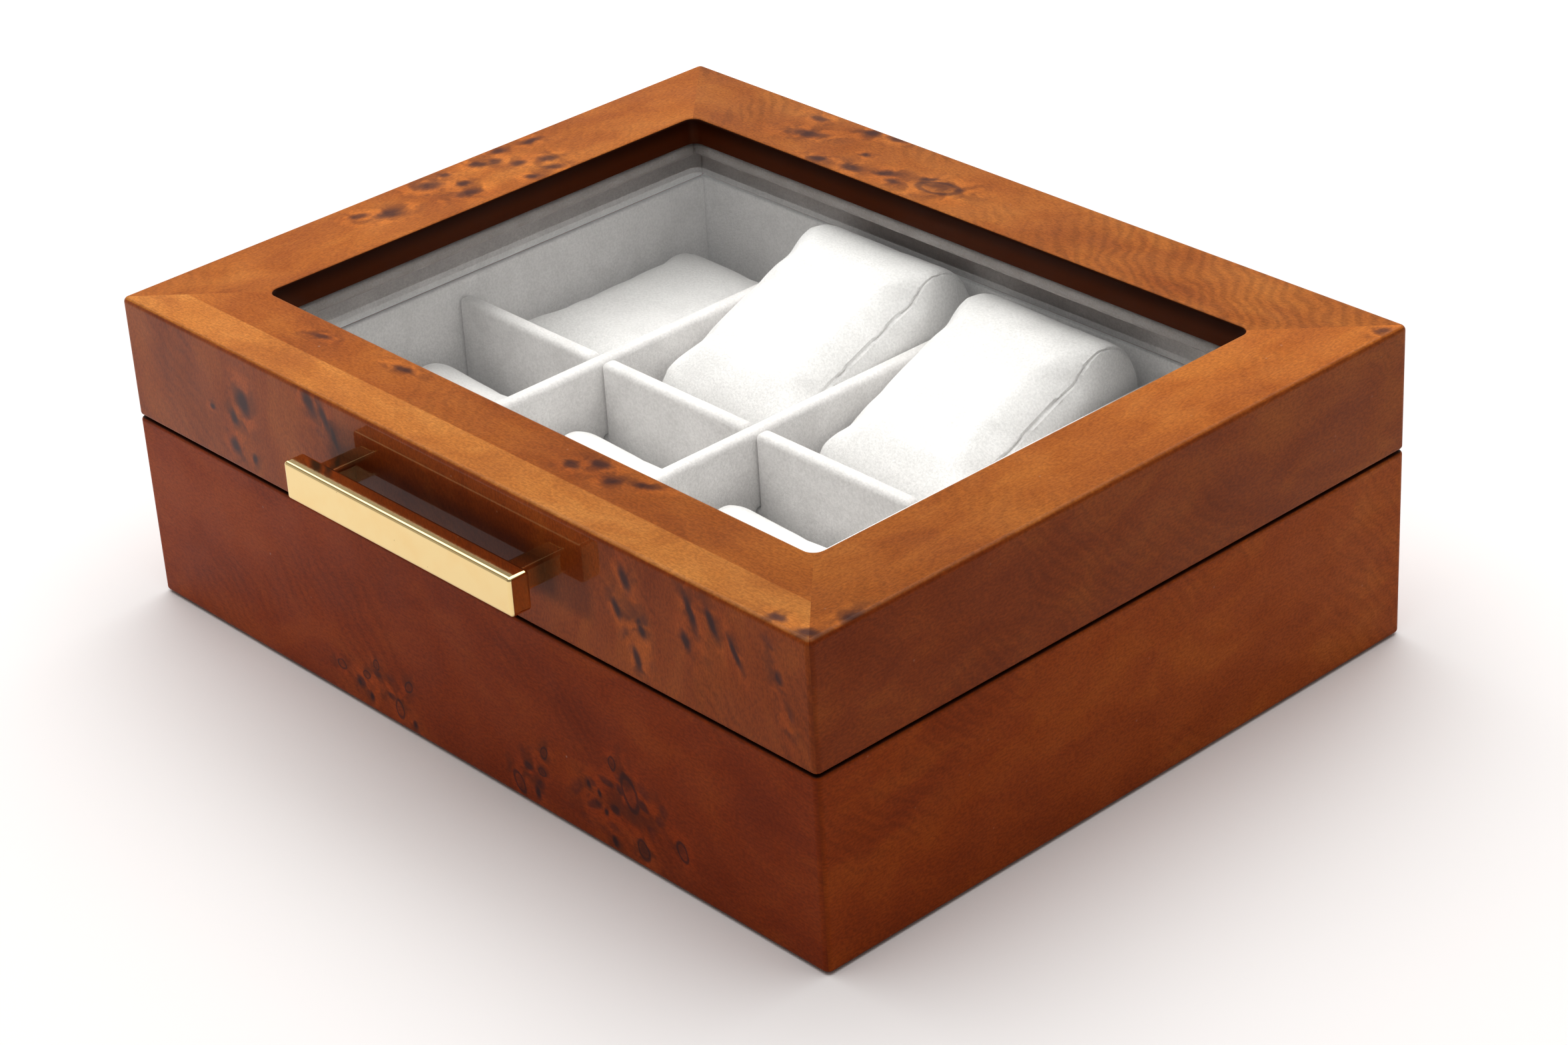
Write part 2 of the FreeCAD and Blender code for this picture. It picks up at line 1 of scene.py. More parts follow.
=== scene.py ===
# %% [markdown]
# # A watch box with a glazed lid
#
# The box is a lacquered burl veneer case in two halves.  The lid has a glass window and a gold bar
# handle, and the tray inside is lined with grey velvet and holds eight watch cushions.  The packed
# model gives every hard piece its place, so this lesson adds what a maker adds last: veneer,
# lacquer, velvet, stuffing, polish and light.

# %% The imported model
import math

import bmesh
import bpy
from mathutils import Matrix, Vector


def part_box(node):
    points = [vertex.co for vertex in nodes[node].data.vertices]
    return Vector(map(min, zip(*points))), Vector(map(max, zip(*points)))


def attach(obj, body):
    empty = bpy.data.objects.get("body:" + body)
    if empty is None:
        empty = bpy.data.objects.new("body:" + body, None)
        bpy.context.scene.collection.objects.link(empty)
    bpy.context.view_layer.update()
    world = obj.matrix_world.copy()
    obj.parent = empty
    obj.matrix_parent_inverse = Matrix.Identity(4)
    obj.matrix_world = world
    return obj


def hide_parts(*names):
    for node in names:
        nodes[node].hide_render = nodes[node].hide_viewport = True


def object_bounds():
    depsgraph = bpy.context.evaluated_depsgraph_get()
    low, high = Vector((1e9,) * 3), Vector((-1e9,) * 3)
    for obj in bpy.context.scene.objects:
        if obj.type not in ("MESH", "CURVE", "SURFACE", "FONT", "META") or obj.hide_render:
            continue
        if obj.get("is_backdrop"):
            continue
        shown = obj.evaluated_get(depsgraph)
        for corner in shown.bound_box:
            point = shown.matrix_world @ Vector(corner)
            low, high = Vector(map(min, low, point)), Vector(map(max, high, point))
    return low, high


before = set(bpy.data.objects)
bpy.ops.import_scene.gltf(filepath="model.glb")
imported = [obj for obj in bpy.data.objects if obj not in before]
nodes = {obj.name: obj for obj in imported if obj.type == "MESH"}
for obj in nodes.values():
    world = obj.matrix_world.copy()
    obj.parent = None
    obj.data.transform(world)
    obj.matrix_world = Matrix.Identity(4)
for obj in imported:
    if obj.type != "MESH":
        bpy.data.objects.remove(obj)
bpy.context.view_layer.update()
MM = 0.001
print("nodes in the frame:", len(nodes))

# %% [markdown]
# ## The camera
#
# The box is seen from above its front right corner with a long lens, which keeps the edges almost
# parallel.  A camera could be aimed with a Track To constraint.  Here it is turned by its yaw, pitch
# and roll, because the slight roll is part of the view.

# %% Camera
LENS = 87.4
SENSOR_WIDTH = 36.0
CAMERA_PLACE = (0.5526, -0.4778, 0.4301)
CAMERA_YAW = math.radians(48.747)
CAMERA_PITCH = math.radians(-29.178)
CAMERA_ROLL = math.radians(-3.582)

camera_data = bpy.data.cameras.new("camera")
camera_data.lens = LENS
camera_data.sensor_width = SENSOR_WIDTH
camera = bpy.data.objects.new("camera", camera_data)
bpy.context.scene.collection.objects.link(camera)
aim = Matrix.Rotation(CAMERA_YAW, 4, "Z") @ Matrix.Rotation(math.pi / 2 + CAMERA_PITCH, 4, "X")
camera.matrix_world = Matrix.Translation(CAMERA_PLACE) @ aim @ Matrix.Rotation(CAMERA_ROLL, 4, "Z")
bpy.context.scene.camera = camera
print("camera looks along", [round(part, 3) for part in aim.col[2][:3]])

# %% [markdown]
# ## Wiring shader nodes
#
# Every finish below is drawn by nodes, so a few helpers keep the wiring short.  One adds a node and
# fills its inputs, and the others wrap the nodes used most: arithmetic, a soft threshold, a colour
# mix, noise and a colour ramp.

# %% Helpers for nodes
def feed(tree, socket, value):
    """Links an output socket to an input, or sets a plain value on it."""
    if isinstance(value, bpy.types.NodeSocket):
        tree.links.new(value, socket)
    else:
        socket.default_value = value


def add(tree, kind, inputs, out=0, **settings):
    """Adds one shader node and gives back one of its outputs."""
    made = tree.nodes.new("ShaderNode" + kind)
    for name, value in settings.items():
        setattr(made, name, value)
    for name, value in inputs.items():
        feed(tree, made.inputs[name], value)
    return made.outputs[out]


def calc(tree, operation, first, second=0.0, third=0.0):
    return add(tree, "Math", {0: first, 1: second, 2: third}, operation=operation)


def vector(tree, operation, first, second, third=(0.0, 0.0, 0.0)):
    return add(tree, "VectorMath", {0: first, 1: second, 2: third}, operation=operation)


def axes_of(tree, place):
    """The X, Y and Z of a vector, as three sockets."""
    return add(tree, "SeparateXYZ", {0: place}).node.outputs


def soft(tree, value, low, high, least=0.0, most=1.0):
    """A soft threshold: least below low, most above high, and the reverse when low is the larger."""
    given = {"Value": value, "From Min": low, "From Max": high, "To Min": least, "To Max": most}
    return add(tree, "MapRange", given, interpolation_type="SMOOTHSTEP")


def mix(tree, share, first, second, blend="MIX"):
    given = {0: share, 6: first, 7: second}
    return add(tree, "Mix", given, out=2, data_type="RGBA", blend_type=blend)


def times(tree, colour, factor):
    """A colour multiplied by another colour or by a mask."""
    return mix(tree, 1.0, colour, factor, "MULTIPLY")


def noise(tree, place, scale, detail=2.0, roughness=0.5, distortion=0.0, out="Fac"):
    given = {"Vector": place, "Scale": scale, "Detail": detail}
    given["Roughness"] = roughness
    given["Distortion"] = distortion
    return add(tree, "TexNoise", given, out=out)


def tones(tree, value, *stops):
    """A colour ramp from (position, colour) stops."""
    made = tree.nodes.new("ShaderNodeValToRGB")
    feed(tree, made.inputs[0], value)
    ramp = made.color_ramp
    while len(ramp.elements) < len(stops):
        ramp.elements.new(1.0)
    for element, (position, colour) in zip(ramp.elements, stops):
        element.position = position
        element.color = (*colour, 1.0)
    return made.outputs[0]


# %% Helpers for node groups and materials
def start_group(name, inputs, outputs):
    """Starts a node group whose inputs are {label: default} and whose outputs are plain masks."""
    tree = bpy.data.node_groups.new(name, "ShaderNodeTree")
    for label, value in inputs.items():
        kind = "NodeSocketVector" if hasattr(value, "__len__") else "NodeSocketFloat"
        socket = tree.interface.new_socket(label, in_out="INPUT", socket_type=kind)
        socket.default_value = value
    for label in outputs:
        tree.interface.new_socket(label, in_out="OUTPUT", socket_type="NodeSocketFloat")
    entry = tree.nodes.new("NodeGroupInput")
    leave = tree.nodes.new("NodeGroupOutput")
    return tree, entry.outputs, leave.inputs


def use_group(tree, group, inputs):
    made = tree.nodes.new("ShaderNodeGroup")
    made.node_tree = group
    for name, value in inputs.items():
        feed(tree, made.inputs[name], value)
    return made.outputs


def start_material(name):
    """A new material: its tree, its Principled node's inputs and the place on the object in mm."""
    material = bpy.data.materials.new(name)
    material.use_nodes = True
    tree = material.node_tree
    surface = tree.nodes["Principled BSDF"].inputs
    metres = add(tree, "TexCoord", {}, out="Object")
    place = add(tree, "VectorMath", {0: metres, "Scale": 1000.0}, operation="SCALE")
    return material, tree, surface, place


def bump(tree, surface, height, strength, distance):
    """A small relief, its distance in metres."""
    given = {"Strength": strength, "Distance": distance, "Height": height}
    feed(tree, surface["Normal"], add(tree, "Bump", given))


# %% [markdown]
# ## Figure in the veneer
#
# Burl veneer is sliced from a knotty growth.  Its ground is cloudy, with short flames, fine pores
# and shimmering cross ripples, and small dark eyes gather in clusters.  One group makes all of these
# as masks from a flat place on the leaf, in millimetres, so each leaf can mix them in its own way.

# %% Sizes of the figure, in noise cells per mm
CLOUD_SCALE = 0.03
FLAME_SCALE = 0.13
PORE_SCALE = 2.4
MOTTLE_SCALE = 1.5
RIPPLE_SCALE = 0.14
PATCH_SCALE = 0.028
EYE_SCALE = 0.21
BEND_SCALE = 0.04
BEND = 8.0


# %% The wood figure group
def make_wood_figure():
    """All the masks of a burl, with the grain along the first axis of the place."""
    outputs = ["Cloud", "Flame", "Fibre", "Waves", "Ripple", "Eyes"]
    tree, entry, leave = start_group("wood figure", {"Place": (0, 0, 0)}, outputs)
    place = entry["Place"]
    wander = noise(tree, place, BEND_SCALE, detail=2.0, out="Color")
    wander = vector(tree, "MULTIPLY_ADD", wander, (2.0 * BEND, 2.0 * BEND, 0.0), (-BEND, -BEND, 0.0))
    bent = vector(tree, "ADD", place, wander)
    wide = vector(tree, "MULTIPLY", bent, (1.0, 1.7, 1.0))
    cloud = noise(tree, wide, CLOUD_SCALE, detail=3.0)
    feed(tree, leave["Cloud"], soft(tree, cloud, 0.34, 0.66))
    long_grain = vector(tree, "MULTIPLY", bent, (0.45, 1.0, 1.0))
    flame = noise(tree, long_grain, FLAME_SCALE, detail=5.0, roughness=0.55, distortion=0.5)
    feed(tree, leave["Flame"], soft(tree, flame, 0.25, 0.75))
    drawn_out = vector(tree, "MULTIPLY", place, (0.35, 1.0, 1.0))
    pores = noise(tree, drawn_out, PORE_SCALE, detail=3.0)
    mottle = noise(tree, place, MOTTLE_SCALE, detail=3.0, roughness=0.7)
    feed(tree, leave["Fibre"], calc(tree, "MULTIPLY", calc(tree, "ADD", pores, mottle), 0.5))
    given = {"Vector": bent, "Scale": RIPPLE_SCALE, "Distortion": 3.0, "Detail": 2.0}
    given["Detail Scale"] = 1.0
    band = add(tree, "TexWave", given, out="Fac", bands_direction="DIAGONAL")
    patch = soft(tree, noise(tree, place, PATCH_SCALE, detail=1.0), 0.46, 0.62)
    feed(tree, leave["Waves"], band)
    feed(tree, leave["Ripple"], calc(tree, "MULTIPLY", band, patch))
    cells = vector(tree, "MULTIPLY", bent, (0.72, 1.0, 1.0))
    given = {"Vector": cells, "Scale": EYE_SCALE, "Randomness": 1.0}
    distance = add(tree, "TexVoronoi", given, out="Distance", voronoi_dimensions="2D")
    feed(tree, leave["Eyes"], soft(tree, distance, 0.36, 0.14))
    return tree


WOOD_FIGURE = make_wood_figure()
print("masks in the wood figure:", len(WOOD_FIGURE.interface.items_tree) - 1)

# %% [markdown]
# ## A single knot
#
# The largest eyes are drawn one at a time, where the leaf has them.  An eye could be a small decal,
# but a mask from the distance to its centre bakes and scales cleanly.  The group turns and stretches
# the place about the eye's centre and gives its dark core, its thin outline and its smoky halo.

# %% The knot group
def make_knot():
    """One eye, with distances measured in its own half sizes."""
    inputs = {"Place": (0, 0, 0), "Centre": (0, 0, 0), "Turn": (0, 0, 0), "Half size": (1, 1, 1)}
    tree, entry, leave = start_group("knot", inputs, ["Core", "Ring", "Halo"])
    given = {"Vector": entry["Place"], "Location": entry["Centre"]}
    given["Rotation"] = entry["Turn"]
    given["Scale"] = entry["Half size"]
    local = add(tree, "Mapping", given, vector_type="TEXTURE")
    away = add(tree, "VectorMath", {0: local}, out="Value", operation="LENGTH")
    feed(tree, leave["Core"], soft(tree, away, 1.45, 0.3))
    off_rim = calc(tree, "ABSOLUTE", calc(tree, "SUBTRACT", away, 0.9))
    feed(tree, leave["Ring"], soft(tree, off_rim, 0.32, 0.05))
    feed(tree, leave["Halo"], soft(tree, away, 3.4, 0.8))
    return tree


KNOT = make_knot()
print("masks in a knot:", len(KNOT.interface.items_tree) - 4)

# %% [markdown]
# ## Worn edges and settled dust
#
# Lacquer is thinnest on an edge, so the stain shows darker there and a knock shows pale.  The edge
# group measures how near a place is to two faces of a block at once.  The dust group scatters tiny
# specks, which every polished finish of the box has.

# %% The edge wear and dust groups
def make_edge_wear():
    """How near a place is to an edge of a block with this centre and half size, all in mm."""
    inputs = {"Place": (0, 0, 0), "Centre": (0, 0, 0), "Half size": (1, 1, 1), "Reach": 1.5}
    tree, entry, leave = start_group("edge wear", inputs, ["Edge"])
    inside = vector(tree, "SUBTRACT", entry["Place"], entry["Centre"])
    inside = add(tree, "VectorMath", {0: inside}, operation="ABSOLUTE")
    depth = vector(tree, "SUBTRACT", entry["Half size"], inside)
    near = [soft(tree, side, entry["Reach"], 0.0) for side in axes_of(tree, depth)]
    pairs = [calc(tree, "MULTIPLY", near[i], near[i - 1]) for i in range(3)]
    widest = calc(tree, "MAXIMUM", calc(tree, "MAXIMUM", pairs[0], pairs[1]), pairs[2])
    ragged = soft(tree, noise(tree, entry["Place"], 0.5, detail=4.0), 0.3, 0.7, 0.35, 1.0)
    feed(tree, leave["Edge"], calc(tree, "MULTIPLY", widest, ragged))
    return tree


def make_dust():
    """Small round specks about a spacing apart, most of them left out by chance."""
    tree, entry, leave = start_group("dust", {"Place": (0, 0, 0), "Spacing": 4.0}, ["Specks"])
    scale = calc(tree, "DIVIDE", 1.0, entry["Spacing"])
    given = {"Vector": entry["Place"], "Scale": scale}
    distance = add(tree, "TexVoronoi", given, out="Distance")
    chance = add(tree, "TexVoronoi", given, out="Color")
    kept = soft(tree, axes_of(tree, chance)[0], 0.6, 0.95)
    speck = soft(tree, distance, 0.055, 0.02)
    feed(tree, leave["Specks"], calc(tree, "MULTIPLY", speck, kept))
    return tree


EDGE_WEAR = make_edge_wear()
DUST = make_dust()
print("node groups:", [group.name for group in bpy.data.node_groups])

# %% [markdown]
# ## Laying a leaf of veneer
#
# A leaf is flat, so its figure is drawn on two coordinates: along and across the face that it
# covers.  The ground is a ramp from deep to pale stain.  Smoke darkens it round each knot, small eyes
# fill the clusters, and the listed knots go on top.  Colours are in linear light.

# %% Stains
TOP_STAIN = [(0.29, 0.076, 0.011), (0.39, 0.120, 0.019), (0.47, 0.165, 0.030)]
# The upright leaves hold the wood's stain darkened with painted shade, since the sides get less of the
# overhead lamp than the top.
LID_STAIN_AND_SHADE = [(0.205, 0.038, 0.0050), (0.265, 0.056, 0.0075), (0.335, 0.086, 0.012)]
BASE_STAIN_AND_SHADE = [(0.205, 0.030, 0.004), (0.255, 0.042, 0.0055), (0.31, 0.061, 0.008)]
EYE = (0.045, 0.017, 0.018, 1.0)
SMOKE = (0.10, 0.026, 0.012, 1.0)
GLOW = (1.4, 1.4, 1.4, 1.0)
FIGURE_SHARE = 0.4
RIPPLE_TONE = 0.88
SHAKE = 0.6
EYE_TONE = 0.93
SMALL_EYES = 0.8
RING_SHARE = 0.8
RING_CORE = 0.35
print("stains, from deep to pale:", TOP_STAIN, LID_STAIN_AND_SHADE, BASE_STAIN_AND_SHADE)


# %% The flat place on a leaf
def leaf_place(tree, place, along, across, shift):
    """Two of the object's axes as a flat place, with a shift that makes each leaf differ."""
    axes = axes_of(tree, place)
    return add(tree, "CombineXYZ", {0: axes[along], 1: axes[across], 2: shift})


def shaken_place(tree, place):
    """The place pushed about by up to SHAKE mm, so that no knot has a smooth outline."""
    push = noise(tree, place, 0.22, detail=1.0, out="Color")
    push = vector(tree, "MULTIPLY_ADD", push, (2.0 * SHAKE, 2.0 * SHAKE, 0.0), (-SHAKE, -SHAKE, 0.0))
    return vector(tree, "MULTIPLY", vector(tree, "ADD", place, push), (1.0, 1.0, 0.0))


# %% The ground of a leaf
def leaf_ground(tree, figure, stain, rippled, ripple):
    """Clouds and flames choose the stain, then ripples and pores shade it."""
    flames = calc(tree, "MULTIPLY", figure["Flame"], FIGURE_SHARE)
    ground = calc(tree, "MULTIPLY_ADD", figure["Cloud"], FIGURE_SHARE, flames)
    ground = calc(tree, "ADD", ground, 0.1)
    colour = tones(tree, ground, (0.05, stain[0]), (0.5, stain[1]), (0.95, stain[2]))
    colour = times(tree, colour, soft(tree, rippled, 0.1, 1.0, 1.0, ripple))
    return times(tree, colour, soft(tree, figure["Fibre"], 0.36, 0.64, 0.8, 1.16))


# %% Knots on a leaf
def draw_knots(tree, place, knots, kinds=("Core", "Halo")):
    """The strongest of each kind of mask over all the knots.

    A knot is (along, across, half length, half width, turn), in mm and degrees.
    """
    found = {kind: 0.0 for kind in kinds}
    for along, across, half_long, half_wide, turn in knots:
        given = {"Place": place, "Centre": (along, across, 0.0)}
        given["Turn"] = (0.0, 0.0, math.radians(turn))
        given["Half size"] = (half_long, half_wide, 1.0)
        masks = use_group(tree, KNOT, given)
        for kind in kinds:
            found[kind] = calc(tree, "MAXIMUM", masks[kind], found[kind])
    return found


def smoked(tree, flat, colour, smoke):
    """Round the knots the wood is darker in parts and glows in others."""
    lively = noise(tree, flat, 0.2, detail=2.0, distortion=0.5)
    glow = calc(tree, "MULTIPLY", smoke, soft(tree, lively, 0.4, 0.62))
    colour = mix(tree, glow, colour, times(tree, colour, GLOW))
    smoke = calc(tree, "MULTIPLY", smoke, soft(tree, lively, 0.6, 0.3, 0.05, 0.62))
    return mix(tree, smoke, colour, SMOKE)


def strongest(tree, *masks):
    """The largest of several masks, each given as a mask and its strength."""
    found = 0.0
    for mask, strength in masks:
        found = calc(tree, "MAXIMUM", calc(tree, "MULTIPLY", mask, strength), found)
    return found


# %% Drawing a leaf
def draw_leaf(tree, place, stain, knots=(), rings=(), clusters=(), **looks):
    """Colour and fibre of one leaf of veneer at a flat place in mm.

    The looks are ripple, the tone in a ripple's dark bands; eye_tone, how dark a knot's core is;
    waves, where strong ripples start and where they are full; and upright, which turns the grain.
    """
    axes = axes_of(tree, place)
    turned = add(tree, "CombineXYZ", {0: axes[1], 1: axes[0], 2: axes[2]})
    figure = use_group(tree, WOOD_FIGURE, {"Place": turned if looks.get("upright") else place})
    rippled = figure["Ripple"]
    if "waves" in looks:
        strong = calc(tree, "MULTIPLY", figure["Waves"], soft(tree, axes[0], *looks["waves"]))
        rippled = calc(tree, "MAXIMUM", rippled, strong)
    colour = leaf_ground(tree, figure, stain, rippled, looks.get("ripple", RIPPLE_TONE))
    flat = shaken_place(tree, place)
    dark = draw_knots(tree, flat, knots)
    ringed = draw_knots(tree, flat, rings, ("Ring", "Core", "Halo"))
    spread = draw_knots(tree, flat, clusters, ("Core",))["Core"]
    smoke = strongest(tree, (dark["Halo"], 1.0), (ringed["Halo"], 1.0), (spread, 1.0))
    colour = smoked(tree, flat, colour, smoke)
    small = calc(tree, "MULTIPLY", figure["Eyes"], spread)
    tone = looks.get("eye_tone", EYE_TONE)
    eyes = [(small, SMALL_EYES), (dark["Core"], tone)]
    eyes += [(ringed["Ring"], RING_SHARE * tone), (ringed["Core"], RING_CORE)]
    return mix(tree, strongest(tree, *eyes), colour, EYE), figure["Fibre"]


# %% [markdown]
# ## Where the knots are
#
# Knots are listed for each face of the case, in millimetres along and across the leaf.  A
# knot is all dark, a ring is a pale eye with a dark outline, and a cluster says where small eyes
# crowd together.  The sides at the back and left get a few of their own, so that the box looks as
# good from behind.

# %% Knots in the lid's top leaves
LID_TOP = {
    "left": [(-99, -20, 3.8, 2.2, 80), (-103, -25, 2.4, 1.5, 60), (-104, -4, 3.6, 2.6, 70),
             (-99, 2, 1.9, 1.3, 90), (-94, -1, 3.4, 2.0, 80), (-106, 2, 1.8, 1.3, 60),
             (-105, 11, 2.6, 1.7, 50), (-107, 19, 2.0, 1.5, 80), (-103, 15, 2.0, 1.5, 90),
             (-98, 18, 2.3, 1.7, 80), (-106, 28, 2.0, 1.5, 90), (-95, 24, 2.4, 1.9, 70),
             (-90, 22, 2.6, 1.6, 60), (-90, 15, 1.8, 1.2, 60)],
    "back": [(-59, 73, 4.6, 2.1, 20), (-63, 81, 2.8, 1.6, 0), (-47, 83, 2.6, 2.0, 30),
             (-40, 84, 3.2, 1.3, 0), (-46, 65, 2.8, 1.5, 10), (-37, 66, 3.0, 1.6, 0),
             (-28, 69, 3.0, 1.7, 30), (-24, 67, 2.2, 1.3, 0), (-39, 73, 1.5, 1.1, 0),
             (-18, 73, 2.6, 1.1, 40)],
    "front": [(29, -66, 3.2, 1.5, 10), (25, -70, 2.6, 1.3, 0), (36, -69, 2.4, 1.3, 30),
              (43, -66, 3.4, 1.2, 20), (-60, -68, 3.0, 1.0, 10), (-34, -66, 3.4, 1.0, 5),
              (99, -83, 2.4, 1.2, 0), (107, -83, 2.6, 1.6, 20)],
    "right": [(109, -73, 3.0, 1.6, 80), (107, -83, 2.6, 1.6, 20), (108, 80, 2.2, 1.5, 80)],
}
TOP_LOOKS = {
    "front": {"ripple": 0.92},
    "back": {"ripple": 0.82, "rings": [(-13, 71, 5.6, 3.0, 15)], "waves": (0.0, 35.0)},
    "left": {"ripple": 0.92, "upright": True},
    "right": {"ripple": 0.92, "upright": True},
}
TOP_EYE_TONE = 0.78
print("knots on the lid's top:", sum(len(knots) for knots in LID_TOP.values()))

# %% Knots in the upright leaves
LID_FRONT = [(-67, 63, 3.7, 2.3, 95), (-71, 58, 1.9, 1.4, 110), (-79, 58, 1.0, 0.8, 0),
             (-72, 51, 2.2, 1.9, 100), (-65, 50, 1.3, 1.0, 90), (-42, 72, 3.2, 2.0, 120),
             (-37, 70, 4.0, 1.3, 115), (-34, 66, 3.4, 0.9, 110), (58, 68, 3.2, 1.5, 110),
             (55, 60, 2.4, 1.2, 110), (62, 58, 2.4, 1.1, 120), (60, 51, 3.0, 1.2, 110),
             (77, 68, 4.6, 1.2, 112), (75, 61, 2.6, 1.2, 110), (83, 68, 3.6, 1.1, 115),
             (89, 64, 3.4, 0.9, 118)]
LID_FRONT_CLUSTERS = [(60, 58, 8, 5, 110), (-40, 71, 6, 4, 120), (101, 60, 13, 2.5, 105)]
BASE_FRONT_RINGS = [(-42, 8, 1.5, 1.1, 0), (-29, 13, 1.3, 1.0, 90), (-33, 9, 1.3, 1.0, 0),
                    (-18, 12, 1.7, 1.1, 60), (-22, 5, 2.3, 1.5, 100), (27, 15, 1.6, 1.1, 70),
                    (26, 10, 1.2, 0.9, 0), (18, 4, 2.6, 1.5, 120), (49, 22, 1.6, 1.1, 100),
                    (54, 17, 4.2, 2.2, 110), (57, 5, 2.5, 1.7, 110), (69, 10, 2.3, 1.4, 110)]
BASE_FRONT_KNOTS = [(-36, 6, 1.4, 1.0, 90), (-32, 4, 1.2, 0.9, 90), (-17, 3, 1.4, 0.9, 90),
                    (24, 4, 1.8, 1.0, 100), (41, 14, 1.1, 0.7, 100), (44, 13, 1.1, 0.7, 100),
                    (46, 9, 1.1, 0.8, 90), (48, 3, 1.6, 1.0, 100)]
BASE_FRONT_CLUSTERS = [(50, 13, 16, 7, 15), (-30, 8, 13, 4, 5), (22, 8, 6, 5, 60)]
SIDE_KNOTS = [(-52, 60, 3.4, 1.6, 100), (-46, 55, 1.6, 1.2, 60), (34, 66, 2.2, 1.2, 80),
              (40, 58, 3.0, 1.2, 120), (22, 12, 2.4, 1.4, 90), (28, 18, 1.4, 1.0, 0)]
SIDE_CLUSTERS = [(-48, 57, 9, 7, 60), (30, 14, 10, 7, 20)]
PLAIN_SIDE = {"knots": SIDE_KNOTS, "clusters": SIDE_CLUSTERS}
BASE_FRONT_MARKS = {"knots": BASE_FRONT_KNOTS, "rings": BASE_FRONT_RINGS}
SIDE_LOOKS = {
    "lid": {
        "front": {"knots": LID_FRONT, "clusters": LID_FRONT_CLUSTERS, "upright": True},
        "back": PLAIN_SIDE,
        "left": PLAIN_SIDE,
        "right": {"ripple": 0.9},
    },
    "base": {
        "front": {**BASE_FRONT_MARKS, "clusters": BASE_FRONT_CLUSTERS},
        "back": PLAIN_SIDE,
        "left": PLAIN_SIDE,
        "right": {"ripple": 0.9, "waves": (35.0, 80.0)},
    },
}
print("knots and rings on the front:", len(LID_FRONT + BASE_FRONT_KNOTS + BASE_FRONT_RINGS))

# %% [markdown]
# ## Tone of the upright leaves
#
# No two sides of an old lacquered box have one tone.  The right side grows paler toward the back,
# and painted shade darkens the wood behind the pull, where the bar keeps light off it.  These could be
# painted as maps, but ramps along the case say the same in a few numbers and have no seams.

# %% Measures of the case, in mm
SIDES = ("front", "back", "left", "right")
LID_CENTRE = (0.0, 0.0, 60.0)
LID_HALF = (110.0, 85.5, 14.5)
BASE_CENTRE = (0.0, 0.0, 22.75)
BASE_HALF = (110.0, 85.5, 22.25)
LEAF_SHIFT = {"front": 0, "right": 40, "back": 80, "left": 120, "top": 200}


def along_axis(side):
    """The axis along a side of the case: X at the front and back, Y at the left and right."""
    return 0 if side in ("front", "back") else 1


def drift(tree, place, axis, ends):
    """A value that goes from the first of ends to the second across the whole case."""
    return soft(tree, axes_of(tree, place)[axis], -LID_HALF[axis], LID_HALF[axis], *ends)


# %% Paler right side and painted shade behind the pull
FRONT_TONE = {"lid": (1.14, 1.0), "base": (1.12, 0.88)}
RIGHT_SIDE_DRIFT = {
    "lid": ((0.84, 0.96), (0.8, 1.06), (0.85, 1.05)),
    "base": ((0.98, 1.32), (1.1, 1.9), (0.95, 2.1)),
}
PULL_SHADES = [((6.0, 62.0), (41.0, 7.5), 0.4), ((0.0, 60.0), (36.0, 4.6), 0.6)]
# Colour of the painted shade behind the pull.
PULL_SHADE_COLOUR = (0.04, 0.005, 0.001, 1.0)
SHADE_OUT = 2.5
SHADE_IN = 1.5


def painted_pull_shade(tree, place, colour):
    """Painted shade on the wood behind the pull, one patch per entry: its (X, Z) centre, half size and
    strength.
    """
    axes = axes_of(tree, place)
    for centre, half, strength in PULL_SHADES:
        mask = strength
        for axis, middle, reach in ((0, centre[0], half[0]), (2, centre[1], half[1])):
            away = calc(tree, "ABSOLUTE", calc(tree, "SUBTRACT", axes[axis], middle))
            shade = soft(tree, away, reach + SHADE_OUT, reach - SHADE_IN)
            mask = calc(tree, "MULTIPLY", shade, mask)
        colour = mix(tree, mask, colour, PULL_SHADE_COLOUR)
    return colour


def right_side_drift(tree, place, half):
    """Red, green and blue factors that make the right side paler toward the back, more on the base
    than on the lid.
    """
    channels = [drift(tree, place, 1, ends) for ends in RIGHT_SIDE_DRIFT[half]]
    return add(tree, "CombineColor", {i: channels[i] for i in range(3)})


def side_leaf(tree, place, side, half):
    """The upright leaf on one side of the lid or the base."""
    # Upright leaves take the stains that carry painted shade.
    stain = LID_STAIN_AND_SHADE if half == "lid" else BASE_STAIN_AND_SHADE
    flat = leaf_place(tree, place, along_axis(side), 2, LEAF_SHIFT[side])
    colour, fibre = draw_leaf(tree, flat, stain, **SIDE_LOOKS[half][side])
    if side == "front":
        colour = times(tree, colour, drift(tree, place, 0, FRONT_TONE[half]))
    if side == "front" and half == "lid":
        # Painted shade behind the pull on the lid's front.
        colour = painted_pull_shade(tree, place, colour)
    if side == "right":
        colour = times(tree, colour, right_side_drift(tree, place, half))
    return colour, fibre


# %% [markdown]
# ## Lacquer
#
# The veneer lies under clear lacquer.  Roughness alone could fake its shine, but a coat over a
# rougher wood gives both layers: soft colour below and a sharp reflection on top.  The coat is worn
# thinner on some sides than on others.  Where the lid meets the base, both edges carry painted shade
# that stands for the dark gap between them.

# %% Lacquer over a leaf
POLISH = {"front": (0.52, 0.22), "left": (0.45, 0.45), "back": (0.35, 0.35), "right": (0.16, 0.26)}
MOUTH = 45.25
MOUTH_REACH = 0.45
MOUTH_BLUR = 0.1
MOUTH_SHARE = 0.9
